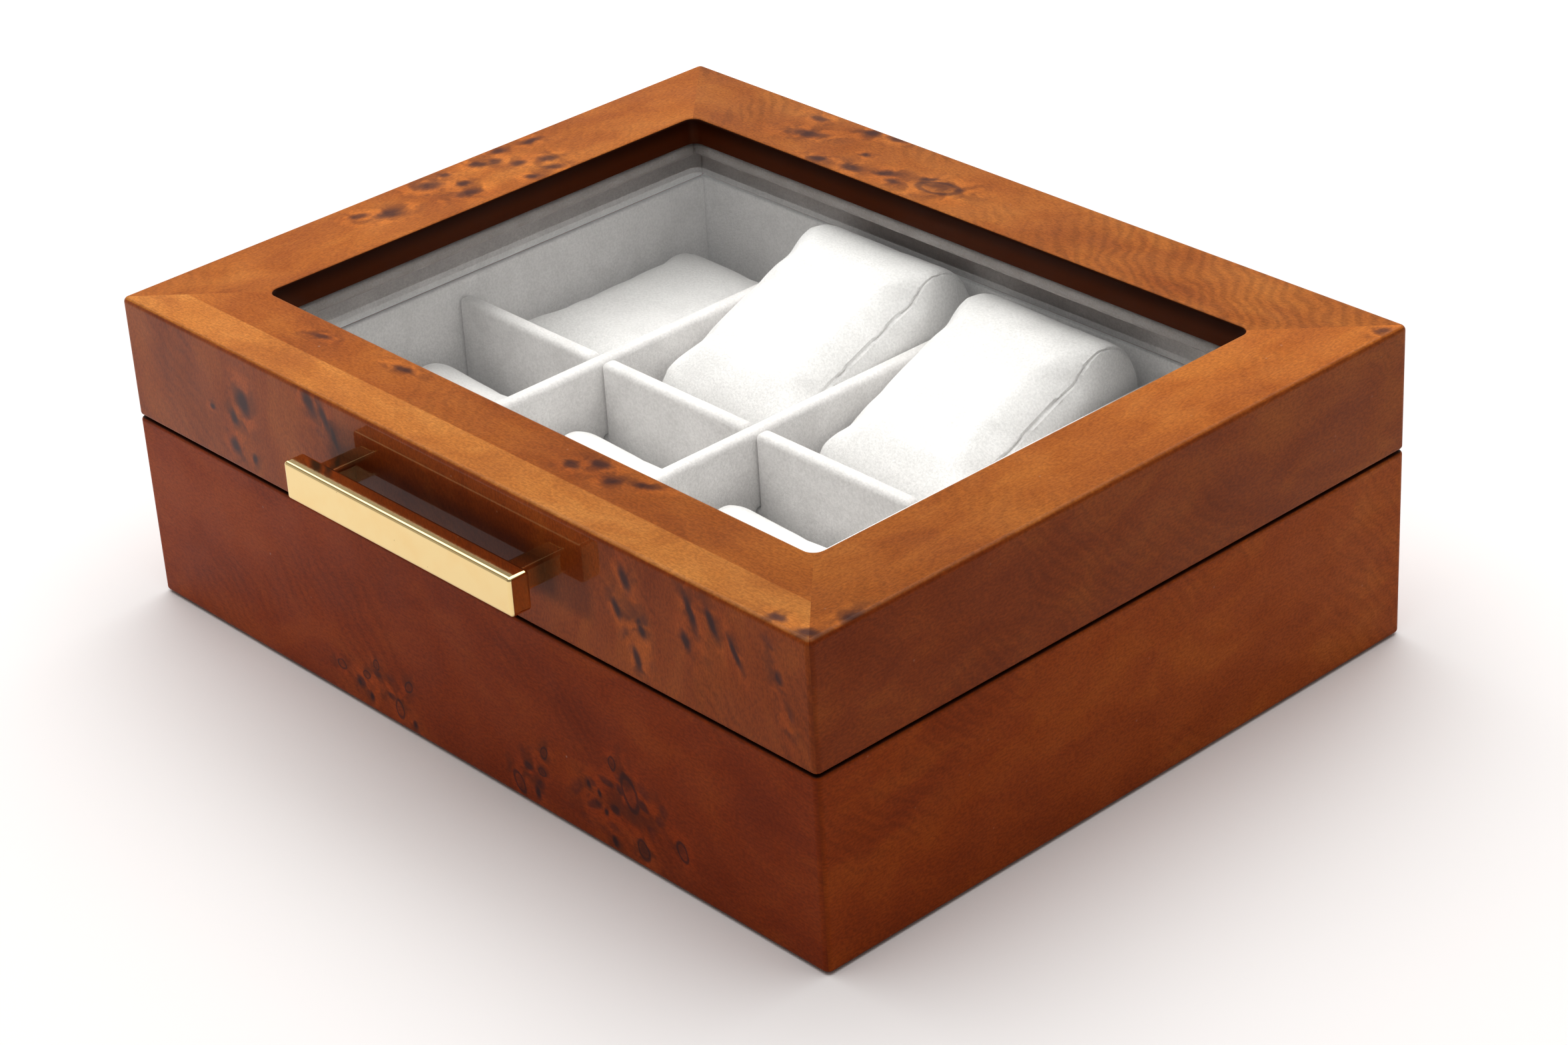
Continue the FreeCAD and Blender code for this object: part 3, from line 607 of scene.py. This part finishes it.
# Colour of the painted shade in the gap where the lid meets the base.
MOUTH_SHADE_COLOUR = (0.012, 0.004, 0.002, 1.0)
EDGE_STAIN = (0.11, 0.026, 0.006, 1.0)
EDGE_REACH = 1.3
EDGE_SHARE = 0.65
DUST_COLOUR = (0.6, 0.5, 0.42, 1.0)
DUST_SPACING = 7.0
DUST_SHARE = 0.3
PEEL_SCALE = 0.3
COAT_ROUGHNESS = 0.035
COAT_IOR = 1.5


def polish(tree, place, side):
    """How much clear coat a side has, from its low end to its high end."""
    return drift(tree, place, along_axis(side), POLISH[side])


def finish_lacquer(tree, surface, place, colour, fibre, centre, half, coat):
    """The painted shade at the joint, edge wear, dust and the clear coat over a leaf's colour."""
    off_joint = calc(tree, "ABSOLUTE", calc(tree, "SUBTRACT", axes_of(tree, place)[2], MOUTH))
    # Painted shade along the joint where the lid meets the base.
    joint_shade = soft(tree, off_joint, MOUTH_REACH + MOUTH_BLUR, MOUTH_REACH - MOUTH_BLUR)
    colour = mix(tree, calc(tree, "MULTIPLY", joint_shade, MOUTH_SHARE), colour, MOUTH_SHADE_COLOUR)
    given = {"Place": place, "Centre": centre, "Half size": half, "Reach": EDGE_REACH}
    edge = use_group(tree, EDGE_WEAR, given)["Edge"]
    colour = mix(tree, calc(tree, "MULTIPLY", edge, EDGE_SHARE), colour, EDGE_STAIN)
    dust = use_group(tree, DUST, {"Place": place, "Spacing": DUST_SPACING})["Specks"]
    colour = mix(tree, calc(tree, "MULTIPLY", dust, DUST_SHARE), colour, DUST_COLOUR)
    feed(tree, surface["Base Color"], colour)
    rough = soft(tree, noise(tree, place, 0.08, detail=3.0), 0.3, 0.7, 0.42, 0.55)
    feed(tree, surface["Roughness"], rough)
    surface["Specular IOR Level"].default_value = 0.05
    feed(tree, surface["Coat Weight"], coat)
    surface["Coat Roughness"].default_value = COAT_ROUGHNESS
    surface["Coat IOR"].default_value = COAT_IOR
    peel = noise(tree, place, PEEL_SCALE, detail=2.0)
    bump(tree, surface, calc(tree, "MULTIPLY_ADD", fibre, 0.12, peel), 0.05, 0.0004)


# %% Walls and skirts
BASE_SHARE = 0.5


def veneer_wall(side, half):
    """Material of a wall of the base or a skirt of the lid."""
    material, tree, surface, place = start_material(f"burl_{half}_{side}")
    colour, fibre = side_leaf(tree, place, side, half)
    centre, size = (LID_CENTRE, LID_HALF) if half == "lid" else (BASE_CENTRE, BASE_HALF)
    coat = calc(tree, "MULTIPLY", polish(tree, place, side), 1.0 if half == "lid" else BASE_SHARE)
    finish_lacquer(tree, surface, place, colour, fibre, centre, size, coat)
    return material


for side in SIDES:
    nodes[f"lid_{side}_skirt"].material_slots[0].material = veneer_wall(side, "lid")
    nodes[f"base_{side}_wall"].material_slots[0].material = veneer_wall(side, "base")
print("walls and skirts veneered:", 2 * len(SIDES))

# %% [markdown]
# ## The lid's rails
#
# A rail shows three finishes: the paler top leaf, the upright leaf below its rounded edge, and the
# plain dark reveal round the window.  Faces could be given separate materials, but the edge is a
# smooth round, so one material blends the finishes by where the surface is and faces.  The front
# rail's top is laid in two strips, the outer one paler, with a straight joint between them.

# %% Strips on the front rail
JOINT_Y = -75.0
JOINT_HALF = 0.15
STRIP_ENDS = (-88.0, 74.0)
STRIP_FEATHER = 8.0
FRINGE_SCALE = 0.3
FRINGE = 14.0
INNER_TINT = (0.86, 0.8, 0.74, 1.0)
OUTER_TINT = (1.26, 1.5, 1.95, 1.0)


def front_strip(tree, place, colour):
    """The colour of the front rail's top with its two strips, the inner one ending in ragged grain."""
    axes = axes_of(tree, place)
    fringe = noise(tree, place, FRINGE_SCALE, detail=3.0)
    ragged = calc(tree, "MULTIPLY_ADD", fringe, FRINGE, axes[0])
    start, stop = STRIP_ENDS
    inner = soft(tree, axes[1], JOINT_Y - JOINT_HALF, JOINT_Y + JOINT_HALF)
    inner = calc(tree, "MULTIPLY", inner, soft(tree, ragged, start, start + STRIP_FEATHER))
    inner = calc(tree, "MULTIPLY", inner, soft(tree, ragged, stop + STRIP_FEATHER, stop))
    colour = mix(tree, inner, colour, times(tree, colour, INNER_TINT))
    outer = soft(tree, axes[1], JOINT_Y + JOINT_HALF, JOINT_Y - JOINT_HALF)
    return mix(tree, outer, colour, times(tree, colour, OUTER_TINT))


# %% The reveal round the window
REVEAL = (0.085, 0.018, 0.003, 1.0)
REVEAL_HALF = (96.0, 72.0)
REVEAL_BLUR = 1.0
REVEAL_TOP = 74.0
REVEAL_DEPTH = 4.0
REVEAL_TONE = 0.35


def reveal_mask(tree, place):
    """Where the place is within the window's opening."""
    within = [calc(tree, "ABSOLUTE", axis) for axis in axes_of(tree, place)[:2]]
    ends = [(half + REVEAL_BLUR, half - REVEAL_BLUR) for half in REVEAL_HALF]
    along, across = [soft(tree, away, *end) for away, end in zip(within, ends)]
    return calc(tree, "MULTIPLY", along, across)


def reveal_colour(tree, place):
    """Plain stain that deepens toward the top edge."""
    height = axes_of(tree, place)[2]
    depth = soft(tree, height, REVEAL_TOP, REVEAL_TOP - REVEAL_DEPTH, REVEAL_TONE, 1.0)
    return times(tree, REVEAL, depth)


# %% Rail material
TOP_TONE = {"front": (1.08, 0.8), "back": (0.86, 0.95), "left": (1.04, 1.0), "right": (0.78, 1.12)}
TOP_COAT = 0.16
REVEAL_COAT = 0.1


def face_share(tree, axis, low, high):
    """How far the surface faces along one of the object's own axes."""
    facing = axes_of(tree, add(tree, "TexCoord", {}, out="Normal"))
    return soft(tree, calc(tree, "ABSOLUTE", facing[axis]), low, high)


def veneer_rail(side):
    """Material of a lid rail."""
    material, tree, surface, place = start_material(f"burl_rail_{side}")
    upright, _ = side_leaf(tree, place, side, "lid")
    flat = leaf_place(tree, place, 0, 1, LEAF_SHIFT["top"])
    looks = {"knots": LID_TOP[side], "eye_tone": TOP_EYE_TONE, **TOP_LOOKS[side]}
    level, fibre = draw_leaf(tree, flat, TOP_STAIN, **looks)
    if side == "front":
        level = front_strip(tree, place, level)
    level = times(tree, level, drift(tree, place, along_axis(side), TOP_TONE[side]))
    reveal = reveal_mask(tree, place)
    upright = mix(tree, reveal, upright, reveal_colour(tree, place))
    facing_up = face_share(tree, 2, 0.6, 0.8)
    colour = mix(tree, facing_up, upright, level)
    coat = soft(tree, reveal, 0.0, 1.0, polish(tree, place, side), REVEAL_COAT)
    coat = soft(tree, facing_up, 0.0, 1.0, coat, TOP_COAT)
    finish_lacquer(tree, surface, place, colour, fibre, LID_CENTRE, LID_HALF, coat)
    return material


for side in SIDES:
    nodes[f"lid_{side}_rail"].material_slots[0].material = veneer_rail(side)
print("rails veneered:", len(SIDES))

# %% [markdown]
# ## Velvet
#
# Velvet is a short upright pile.  It looks pale where the eye runs along the pile and deeper where it
# looks into it, which is what sheen does.  The pile leans this way and that, so soft patches of tone
# drift over it, and fine noise in the bump breaks up the surface.  The cushions are the palest and the
# tray is a little greyer.  The lid's lining is the tray's velvet painted greyer, and the strips that
# hold the glass are painted dark, both as painted shade under the lid's rails.

# %% The velvet pile group and material
def make_pile():
    tree, entry, leave = start_group("velvet pile", {"Place": (0, 0, 0)}, ["Lean", "Height"])
    lean = noise(tree, entry["Place"], 0.09, detail=3.0, distortion=0.6)
    feed(tree, leave["Lean"], soft(tree, lean, 0.3, 0.7))
    tufts = noise(tree, entry["Place"], 1.8, detail=4.0, roughness=0.75)
    feed(tree, leave["Height"], tufts)
    return tree


PILE = make_pile()


def velvet(name, deep, pale, sheen):
    """A velvet that drifts between two tones as its pile leans."""
    material, tree, surface, place = start_material(name)
    pile = use_group(tree, PILE, {"Place": place})
    colour = tones(tree, pile["Lean"], (0.0, deep), (1.0, pale))
    tuft = soft(tree, pile["Height"], 0.32, 0.68, 0.86, 1.06)
    feed(tree, surface["Base Color"], times(tree, colour, tuft))
    feed(tree, surface["Roughness"], soft(tree, pile["Lean"], 0.0, 1.0, 0.95, 0.82))
    surface["Specular IOR Level"].default_value = 0.15
    surface["Sheen Weight"].default_value = sheen
    surface["Sheen Roughness"].default_value = 0.45
    bump(tree, surface, pile["Height"], 0.5, 0.0003)
    return material


LINING_VELVET = velvet("lining_velvet", (0.72, 0.70, 0.69), (0.80, 0.78, 0.77), 0.25)
# The lid's lining and the glass strips use the tray's velvet darkened as painted shade under the
# rails.
SHADED_LID_VELVET = velvet("lid_velvet", (0.54, 0.52, 0.51), (0.62, 0.60, 0.59), 0.2)
SHADED_BEAD_VELVET = velvet("bead_velvet_shaded", (0.36, 0.34, 0.33), (0.42, 0.40, 0.39), 0.15)
CUSHION_VELVET = velvet("cushion_velvet", (0.80, 0.79, 0.78), (0.86, 0.85, 0.84), 0.3)
VELVETS = (LINING_VELVET, SHADED_LID_VELVET, SHADED_BEAD_VELVET, CUSHION_VELVET)
print("velvets:", [material.name for material in VELVETS])

# %% [markdown]
# ## Wrapped boards
#
# The tray's walls and dividers are thin boards wrapped in velvet, so their edges are soft and full.
# Subdivision would round the faces too.  A copy of each CAD board, merged and bevelled, keeps the
# board's notches and flat faces and rounds just the edges.

# %% Helpers for meshes
SAME_PLACE = 0.01 * MM
FLAT = math.radians(2.0)


def link(name, mesh, material):
    """A new object at the origin with its mesh and material."""
    piece = bpy.data.objects.new(name, mesh)
    bpy.context.scene.collection.objects.link(piece)
    mesh.materials.clear()
    mesh.materials.append(material)
    return piece


def merged_copy(node):
    """A bmesh of a CAD node, its triangles joined and its flat faces made whole."""
    shape = bmesh.new()
    shape.from_mesh(nodes[node].data)
    bmesh.ops.remove_doubles(shape, verts=shape.verts, dist=SAME_PLACE)
    bmesh.ops.dissolve_limit(shape, angle_limit=FLAT, verts=shape.verts, edges=shape.edges)
    return shape


def shade_smooth(mesh, angle=40.0):
    """Smooth faces that keep a hard edge wherever it is sharper than an angle in degrees."""
    mesh.polygons.foreach_set("use_smooth", [True] * len(mesh.polygons))
    mesh.set_sharp_from_angle(angle=math.radians(angle))


# %% Wrapping a board
FOLD = math.radians(30.0)
# Boards in the lid get the velvets darkened as painted shade.
BOARD_VELVETS = {"lid": SHADED_LID_VELVET, "glass": SHADED_BEAD_VELVET}


def wrap_board(node, radius):
    """A velvet covered board that stands for a CAD node."""
    shape = merged_copy(node)
    sharp = [edge for edge in shape.edges if edge.calc_face_angle(0.0) > FOLD]
    given = {"affect": "EDGES", "offset": radius, "segments": 4, "profile": 0.5, "material": -1}
    bmesh.ops.bevel(shape, geom=sharp, clamp_overlap=True, **given)
    mesh = bpy.data.meshes.new(f"{node}_velvet")
    shape.to_mesh(mesh)
    shape.free()
    shade_smooth(mesh)
    part = node.split("_")[0]
    piece = link(f"{node}_velvet", mesh, BOARD_VELVETS.get(part, LINING_VELVET))
    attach(piece, "lid" if part in ("lid", "glass") else "base")
    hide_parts(node)
    return piece


# %% The boards
LINED = ("base_lining", "lid_lining", "glass_retainer")
WRAPPED = [f"{part}_{side}" for part in LINED for side in SIDES]
WRAPPED += ["long_divider", "cross_divider_left", "cross_divider_centre", "cross_divider_right"]
WRAPPED += ["tray_floor"]
FOLD_RADIUS = 1.4 * MM
FOLD_SHARE = 0.36

for node in WRAPPED:
    low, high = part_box(node)
    wrapped = wrap_board(node, min(FOLD_RADIUS, FOLD_SHARE * min(high - low)))
    print(wrapped.name, "faces:", len(wrapped.data.polygons))

# %% [markdown]
# ## Watch cushions
#
# A watch cushion is a block of wadding in a velvet sleeve with a panel sewn into each end.  It could
# be sculpted with a subdivided cube, but stuffing swells a cover unevenly, so one cushion is blown up
# by the cloth simulation.  The solver works best on things of furniture size, so the cover is
# simulated at five times its size and shrunk afterwards.

# %% The cushion's cover
CUSHION_HALF = Vector((22.0, 34.0, 14.25)) * MM
CUSHION_CORNER = 12.0 * MM
CUSHION_RIM = 1.6 * MM
CUSHION_SLACK = 1.1 * MM
SOLVER_SCALE = 5.0
TINY = 1e-6


def cushion_block(slack, scale):
    """The cut shape: a block with large round corners seen from its end and a small round rim."""
    shape = bmesh.new()
    bmesh.ops.create_cube(shape, size=2.0)
    half = (CUSHION_HALF - Vector((slack, slack, slack))) * scale
    bmesh.ops.scale(shape, vec=half, verts=shape.verts)
    along = [e for e in shape.edges if abs((e.verts[0].co - e.verts[1].co).x) > TINY]
    given = {"affect": "EDGES", "segments": 8, "profile": 0.5, "material": -1}
    bmesh.ops.bevel(shape, geom=along, offset=(CUSHION_CORNER - slack) * scale, **given)
    rim = [e for e in shape.edges if abs((e.verts[0].co - e.verts[1].co).x) < TINY]
    rim = [e for e in rim if abs(e.verts[0].co.x) > 0.9 * half.x and e.calc_face_angle(0.0) > 0.8]
    bmesh.ops.bevel(shape, geom=rim, offset=CUSHION_RIM * scale, **(given | {"segments": 3}))
    mesh = bpy.data.meshes.new("cushion_cover")
    shape.to_mesh(mesh)
    shape.free()
    return mesh


# %% Blowing up the cover
SOLVER_VOXEL = 0.0085
SOLVER_FRAMES = 20
PRESSURE = 4.0
TENSION = 20.0
BENDING = 1.0
MOST_SWELL = 0.009


def applied(piece):
    """The piece's mesh with all its modifiers applied."""
    graph = bpy.context.evaluated_depsgraph_get()
    return bpy.data.meshes.new_from_object(piece.evaluated_get(graph))


def swell(mesh):
    """Remeshes a cover, fills it by cloth pressure and caps how far any point moves."""
    cover = bpy.data.objects.new("cover", mesh)
    bpy.context.scene.collection.objects.link(cover)
    remesh = cover.modifiers.new("voxels", "REMESH")
    remesh.mode = "VOXEL"
    remesh.voxel_size = SOLVER_VOXEL
    cover.data = applied(cover)
    cover.modifiers.clear()
    before = [vertex.co.copy() for vertex in cover.data.vertices]
    cloth = cover.modifiers.new("stuffing", "CLOTH")
    cloth.settings.use_pressure = True
    cloth.settings.uniform_pressure_force = PRESSURE
    cloth.settings.effector_weights.gravity = 0.0
    cloth.settings.tension_stiffness = TENSION
    cloth.settings.bending_stiffness = BENDING
    cloth.point_cache.frame_start = 1
    cloth.point_cache.frame_end = SOLVER_FRAMES
    for step in range(1, SOLVER_FRAMES + 1):
        bpy.context.scene.frame_set(step)
    swollen = applied(cover)
    cover.modifiers.clear()
    bpy.context.scene.frame_set(1)
    cover.data = swollen
    for vertex, start in zip(swollen.vertices, before):
        moved = vertex.co - start
        if moved.length > MOST_SWELL:
            vertex.co = start + moved.normalized() * MOST_SWELL
    return cover


# %% Sewing in the end panels
SEAM_IN = 2.0 * MM
SEAM_DEPTH = 0.55 * MM
SEAM_WIDTH = 0.45 * MM
NEAR = 0.05 * MM


def sew_seams(mesh):
    """Draws the cover in along a seam near each end, where the end panel is sewn to the sleeve."""
    shape = bmesh.new()
    shape.from_mesh(mesh)
    for end in (-1.0, 1.0):
        middle = end * (CUSHION_HALF.x - SEAM_IN)
        for side in (-1.0, 0.0, 1.0):
            cut = Vector((middle + side * SEAM_WIDTH, 0.0, 0.0))
            geometry = shape.verts[:] + shape.edges[:] + shape.faces[:]
            bmesh.ops.bisect_plane(shape, geom=geometry, dist=TINY, plane_co=cut, plane_no=(1, 0, 0))
        shape.normal_update()
        for vertex in shape.verts:
            if abs(vertex.co.x - middle) < NEAR:
                vertex.co -= vertex.normal * SEAM_DEPTH
    shape.to_mesh(mesh)
    shape.free()


def finished_cover():
    """One cushion at the origin and at its real size, stuffed, smoothed and sewn."""
    cover = swell(cushion_block(CUSHION_SLACK, SOLVER_SCALE))
    smoothing = cover.modifiers.new("smoothing", "SMOOTH")
    smoothing.iterations = 3
    smoothing.factor = 0.4
    finer = cover.modifiers.new("finer", "SUBSURF")
    finer.levels = 1
    finer.render_levels = 1
    mesh = applied(cover)
    bpy.data.objects.remove(cover)
    mesh.transform(Matrix.Scale(1.0 / SOLVER_SCALE, 4))
    sew_seams(mesh)
    return mesh


def reach(mesh, axis):
    """How far a mesh reaches along an axis, in mm."""
    places = [vertex.co[axis] for vertex in mesh.vertices]
    return round((max(places) - min(places)) / MM, 1)


COVER = finished_cover()
print("cushion", [reach(COVER, axis) for axis in range(3)], "mm,", len(COVER.polygons), "faces")

# %% [markdown]
# ## Filling the tray
#
# Eight cushions lie in two rows of four.  Two of them are pushed up at the back, as when a watch is
# wrapped round them.  Each one is the same sewn cushion, turned end for end at times and dented a
# little in its own way, because no two are stuffed alike.

# %% Placing the cushions
RAISED = {"back_2": 22.0, "back_3": 22.0}
ROW_LENGTH = 4
DENT = 0.35 * MM
WAVES_X = 95.0
WAVES_Y = 70.0
SHIFT_X = 1.7
SHIFT_Y = 2.3


def dent(mesh, seed):
    """Long low dents that differ from cushion to cushion."""
    shape = bmesh.new()
    shape.from_mesh(mesh)
    for vertex in shape.verts:
        across = math.sin(WAVES_X * vertex.co.x + SHIFT_X * seed)
        along = math.sin(WAVES_Y * vertex.co.y + SHIFT_Y * seed)
        vertex.co += vertex.normal * (across * along) * DENT
    shape.to_mesh(mesh)
    shape.free()


def place_cushion(row, number, seed):
    """One cushion in the middle of its CAD box, on its own body."""
    name = f"cushion_{row}_{number}"
    low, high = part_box(name)
    mesh = COVER.copy()
    if seed % 2:
        mesh.transform(Matrix.Rotation(math.pi, 4, "Z"))
    dent(mesh, seed)
    tilt = math.radians(RAISED.get(f"{row}_{number}", 0.0))
    mesh.transform(Matrix.Translation((low + high) / 2) @ Matrix.Rotation(tilt, 4, "X"))
    shade_smooth(mesh, 75.0)
    piece = link(f"{name}_velvet", mesh, CUSHION_VELVET)
    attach(piece, name)
    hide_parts(name)
    return piece


for row in ("back", "front"):
    for number in range(1, ROW_LENGTH + 1):
        cushion = place_cushion(row, number, number + ROW_LENGTH * (row == "back"))
        print(cushion.name, "faces:", len(cushion.data.polygons))

# %% [markdown]
# ## Gold plate, brass and steel
#
# The handle is gold plated and polished, so nearly all its look is reflection.  Its surface still has
# pin holes, faint rub marks and thin plate along the edges.  The hinges are satin brass, brushed
# along their length, and the screws are plain steel.

# %% Metal material
PIT = (0.12, 0.07, 0.03, 1.0)
PIT_SPACING = 2.6
PLATE_REACH = 0.6


def metal(name, colour, worn, rough, brush, edge_of=None):
    """Polished or brushed metal with edge wear.  Brush stretches the rub marks along X."""
    material, tree, surface, place = start_material(name)
    rubbed = vector(tree, "MULTIPLY", place, (1.0 / brush, 1.0, 1.0))
    rub = noise(tree, rubbed, 1.2, detail=4.0, roughness=0.65)
    stain = noise(tree, place, 0.12, detail=3.0)
    shown = mix(tree, soft(tree, stain, 0.45, 0.75, 0.0, 0.35), (*colour, 1.0), (*worn, 1.0))
    pits = use_group(tree, DUST, {"Place": place, "Spacing": PIT_SPACING})["Specks"]
    shown = mix(tree, calc(tree, "MULTIPLY", pits, 0.8), shown, PIT)
    if edge_of is not None:
        low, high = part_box(edge_of)
        given = {"Place": place, "Reach": PLATE_REACH}
        given["Centre"] = (low + high) / (2.0 * MM)
        given["Half size"] = (high - low) / (2.0 * MM)
        edge = use_group(tree, EDGE_WEAR, given)["Edge"]
        shown = mix(tree, calc(tree, "MULTIPLY", edge, 0.25), shown, (*worn, 1.0))
    feed(tree, surface["Base Color"], shown)
    feed(tree, surface["Roughness"], soft(tree, rub, 0.3, 0.75, rough * 0.7, rough * 1.5))
    surface["Metallic"].default_value = 1.0
    bump(tree, surface, rub, 0.02, 0.00005)
    return material


# %% Gold, brass and steel
GOLD = (0.86, 0.67, 0.35)
WORN_GOLD = (0.84, 0.58, 0.26)
BRASS = (0.78, 0.58, 0.26)
WORN_BRASS = (0.55, 0.36, 0.15)
STEEL = (0.62, 0.62, 0.63)
WORN_STEEL = (0.42, 0.41, 0.40)
METALS = {
    "gold_plate": metal("gold_plate", GOLD, WORN_GOLD, 0.05, 1.0, edge_of="handle_bar"),
    "hinge_metal": metal("hinge_metal", BRASS, WORN_BRASS, 0.28, 8.0),
    "steel": metal("steel", STEEL, WORN_STEEL, 0.3, 3.0),
}
print("metals:", list(METALS))

# %% [markdown]
# ## Glass, felt and board
#
# The window is plain float glass.  Lamps must shine through it, so it is clear to shadow rays and
# glass to all others.  The foot is a sheet of dark felt, and the bottom panel above it is pressed
# board, which only shows if the box is taken apart.

# %% Glass
GLASS_SHADOW = (0.98, 0.975, 0.965, 1.0)


def window_glass():
    """Float glass with faint smears, which lets the lamp through."""
    material, tree, surface, place = start_material("glass")
    smear = noise(tree, place, 0.05, detail=4.0)
    feed(tree, surface["Roughness"], soft(tree, smear, 0.4, 0.7, 0.0, 0.012))
    tint = tones(tree, smear, (0.3, (0.98, 0.985, 0.975)), (0.8, (0.995, 0.995, 0.985)))
    feed(tree, surface["Base Color"], tint)
    surface["Transmission Weight"].default_value = 1.0
    surface["IOR"].default_value = 1.5
    lamp = add(tree, "LightPath", {}, out="Is Shadow Ray")
    clear = add(tree, "BsdfTransparent", {0: GLASS_SHADOW})
    shader = tree.nodes["Principled BSDF"].outputs[0]
    both = add(tree, "MixShader", {0: lamp, 1: shader, 2: clear})
    tree.links.new(both, tree.nodes["Material Output"].inputs[0])
    return material


# %% Felt and board
def matted(name, deep, pale, scale, height):
    """A dull fibrous finish, for the felt and for the pressed board."""
    material, tree, surface, place = start_material(name)
    fibres = noise(tree, place, scale, detail=5.0, roughness=0.7, distortion=1.2)
    feed(tree, surface["Base Color"], tones(tree, fibres, (0.3, deep), (0.7, pale)))
    feed(tree, surface["Roughness"], soft(tree, fibres, 0.2, 0.8, 0.98, 0.85))
    surface["Specular IOR Level"].default_value = 0.1
    bump(tree, surface, fibres, 0.6, height)
    return material


# %% Finishes on the CAD pieces
OTHERS = {
    "glass": window_glass(),
    "felt": matted("felt", (0.035, 0.033, 0.032), (0.075, 0.07, 0.068), 1.6, 0.0004),
    "board": matted("board", (0.24, 0.15, 0.08), (0.42, 0.29, 0.17), 0.9, 0.0002),
}
for node in nodes.values():
    slot = node.material_slots[0]
    finish = (METALS | OTHERS).get(slot.name)
    if finish is not None:
        slot.material = finish
        print(node.name, "in", finish.name)

# %% [markdown]
# ## Studio
#
# The box stands on pale paper under soft light.  The main light hangs above and behind it, so the top
# is bright, the sides toward the camera fall off, and the shadow lies softly in front.  Pale walls
# could be built as cards, but a world that is bright behind the box and dim elsewhere gives the coat
# and the gold the same reflections.

# %% Floor
FLOOR_HALF = 4.0


def paper():
    """Matt paper with hardly any colour of its own."""
    material, tree, surface, place = start_material("floor_paper")
    cloudy = noise(tree, place, 0.004, detail=2.0)
    colour = tones(tree, cloudy, (0.3, (0.86, 0.84, 0.83)), (0.7, (0.88, 0.86, 0.85)))
    feed(tree, surface["Base Color"], colour)
    surface["Roughness"].default_value = 0.7
    surface["Specular IOR Level"].default_value = 0.2
    return material


sheet = bmesh.new()
bmesh.ops.create_grid(sheet, x_segments=8, y_segments=8, size=FLOOR_HALF)
floor_mesh = bpy.data.meshes.new("floor")
sheet.to_mesh(floor_mesh)
sheet.free()
floor = link("floor", floor_mesh, paper())
floor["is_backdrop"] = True
print("floor:", 2.0 * FLOOR_HALF, "m wide")


# %% Light
LAMP_PLACE = (-0.29, 0.24, 1.32)
LAMP_TARGET = (-0.05, 0.05, 0.0)
LAMP_SIZE = 2.1
LAMP_POWER = 25.5


def soft_lamp(name, place, target, size, power):
    """A square soft light at place, turned to face target."""
    data = bpy.data.lights.new(name, "AREA")
    data.size = size
    data.energy = power
    light = bpy.data.objects.new(name, data)
    bpy.context.scene.collection.objects.link(light)
    facing = (Vector(target) - Vector(place)).to_track_quat("-Z", "Y")
    light.matrix_world = Matrix.Translation(place) @ facing.to_matrix().to_4x4()
    return light


overhead = soft_lamp("overhead", LAMP_PLACE, LAMP_TARGET, LAMP_SIZE, LAMP_POWER)
print("lamp:", overhead.data.energy, "W")

# %% The pale walls round the table
WALL_BACK = (-0.752, 0.659, 0.0)
WALL_TOP = (math.sin(math.radians(32.0)), math.sin(math.radians(20.0)))
WALL_PALE = (1.0, 0.99, 0.98, 1.0)
ROOM_DIM = (0.34, 0.334, 0.33, 1.0)
WORLD_STRENGTH = 0.8


def studio_walls():
    """A world that is bright low down behind the box and dim above and beside the camera."""
    world = bpy.data.worlds.new("studio")
    bpy.context.scene.world = world
    world.use_nodes = True
    tree = world.node_tree
    way = add(tree, "TexCoord", {}, out="Generated")
    behind = add(tree, "VectorMath", {0: way, 1: WALL_BACK}, out="Value", operation="DOT_PRODUCT")
    up = axes_of(tree, way)[2]
    wall = calc(tree, "MULTIPLY", soft(tree, behind, -0.3, 0.7), soft(tree, up, *WALL_TOP))
    background = tree.nodes["Background"].inputs
    feed(tree, background["Color"], mix(tree, wall, ROOM_DIM, WALL_PALE))
    background["Strength"].default_value = WORLD_STRENGTH


studio_walls()

# %% How the picture is developed
view = bpy.context.scene.view_settings
view.view_transform = "Standard"
view.look = "Medium High Contrast"
print("view:", view.view_transform, view.look)

# %% Sizes and the end
low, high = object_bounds()
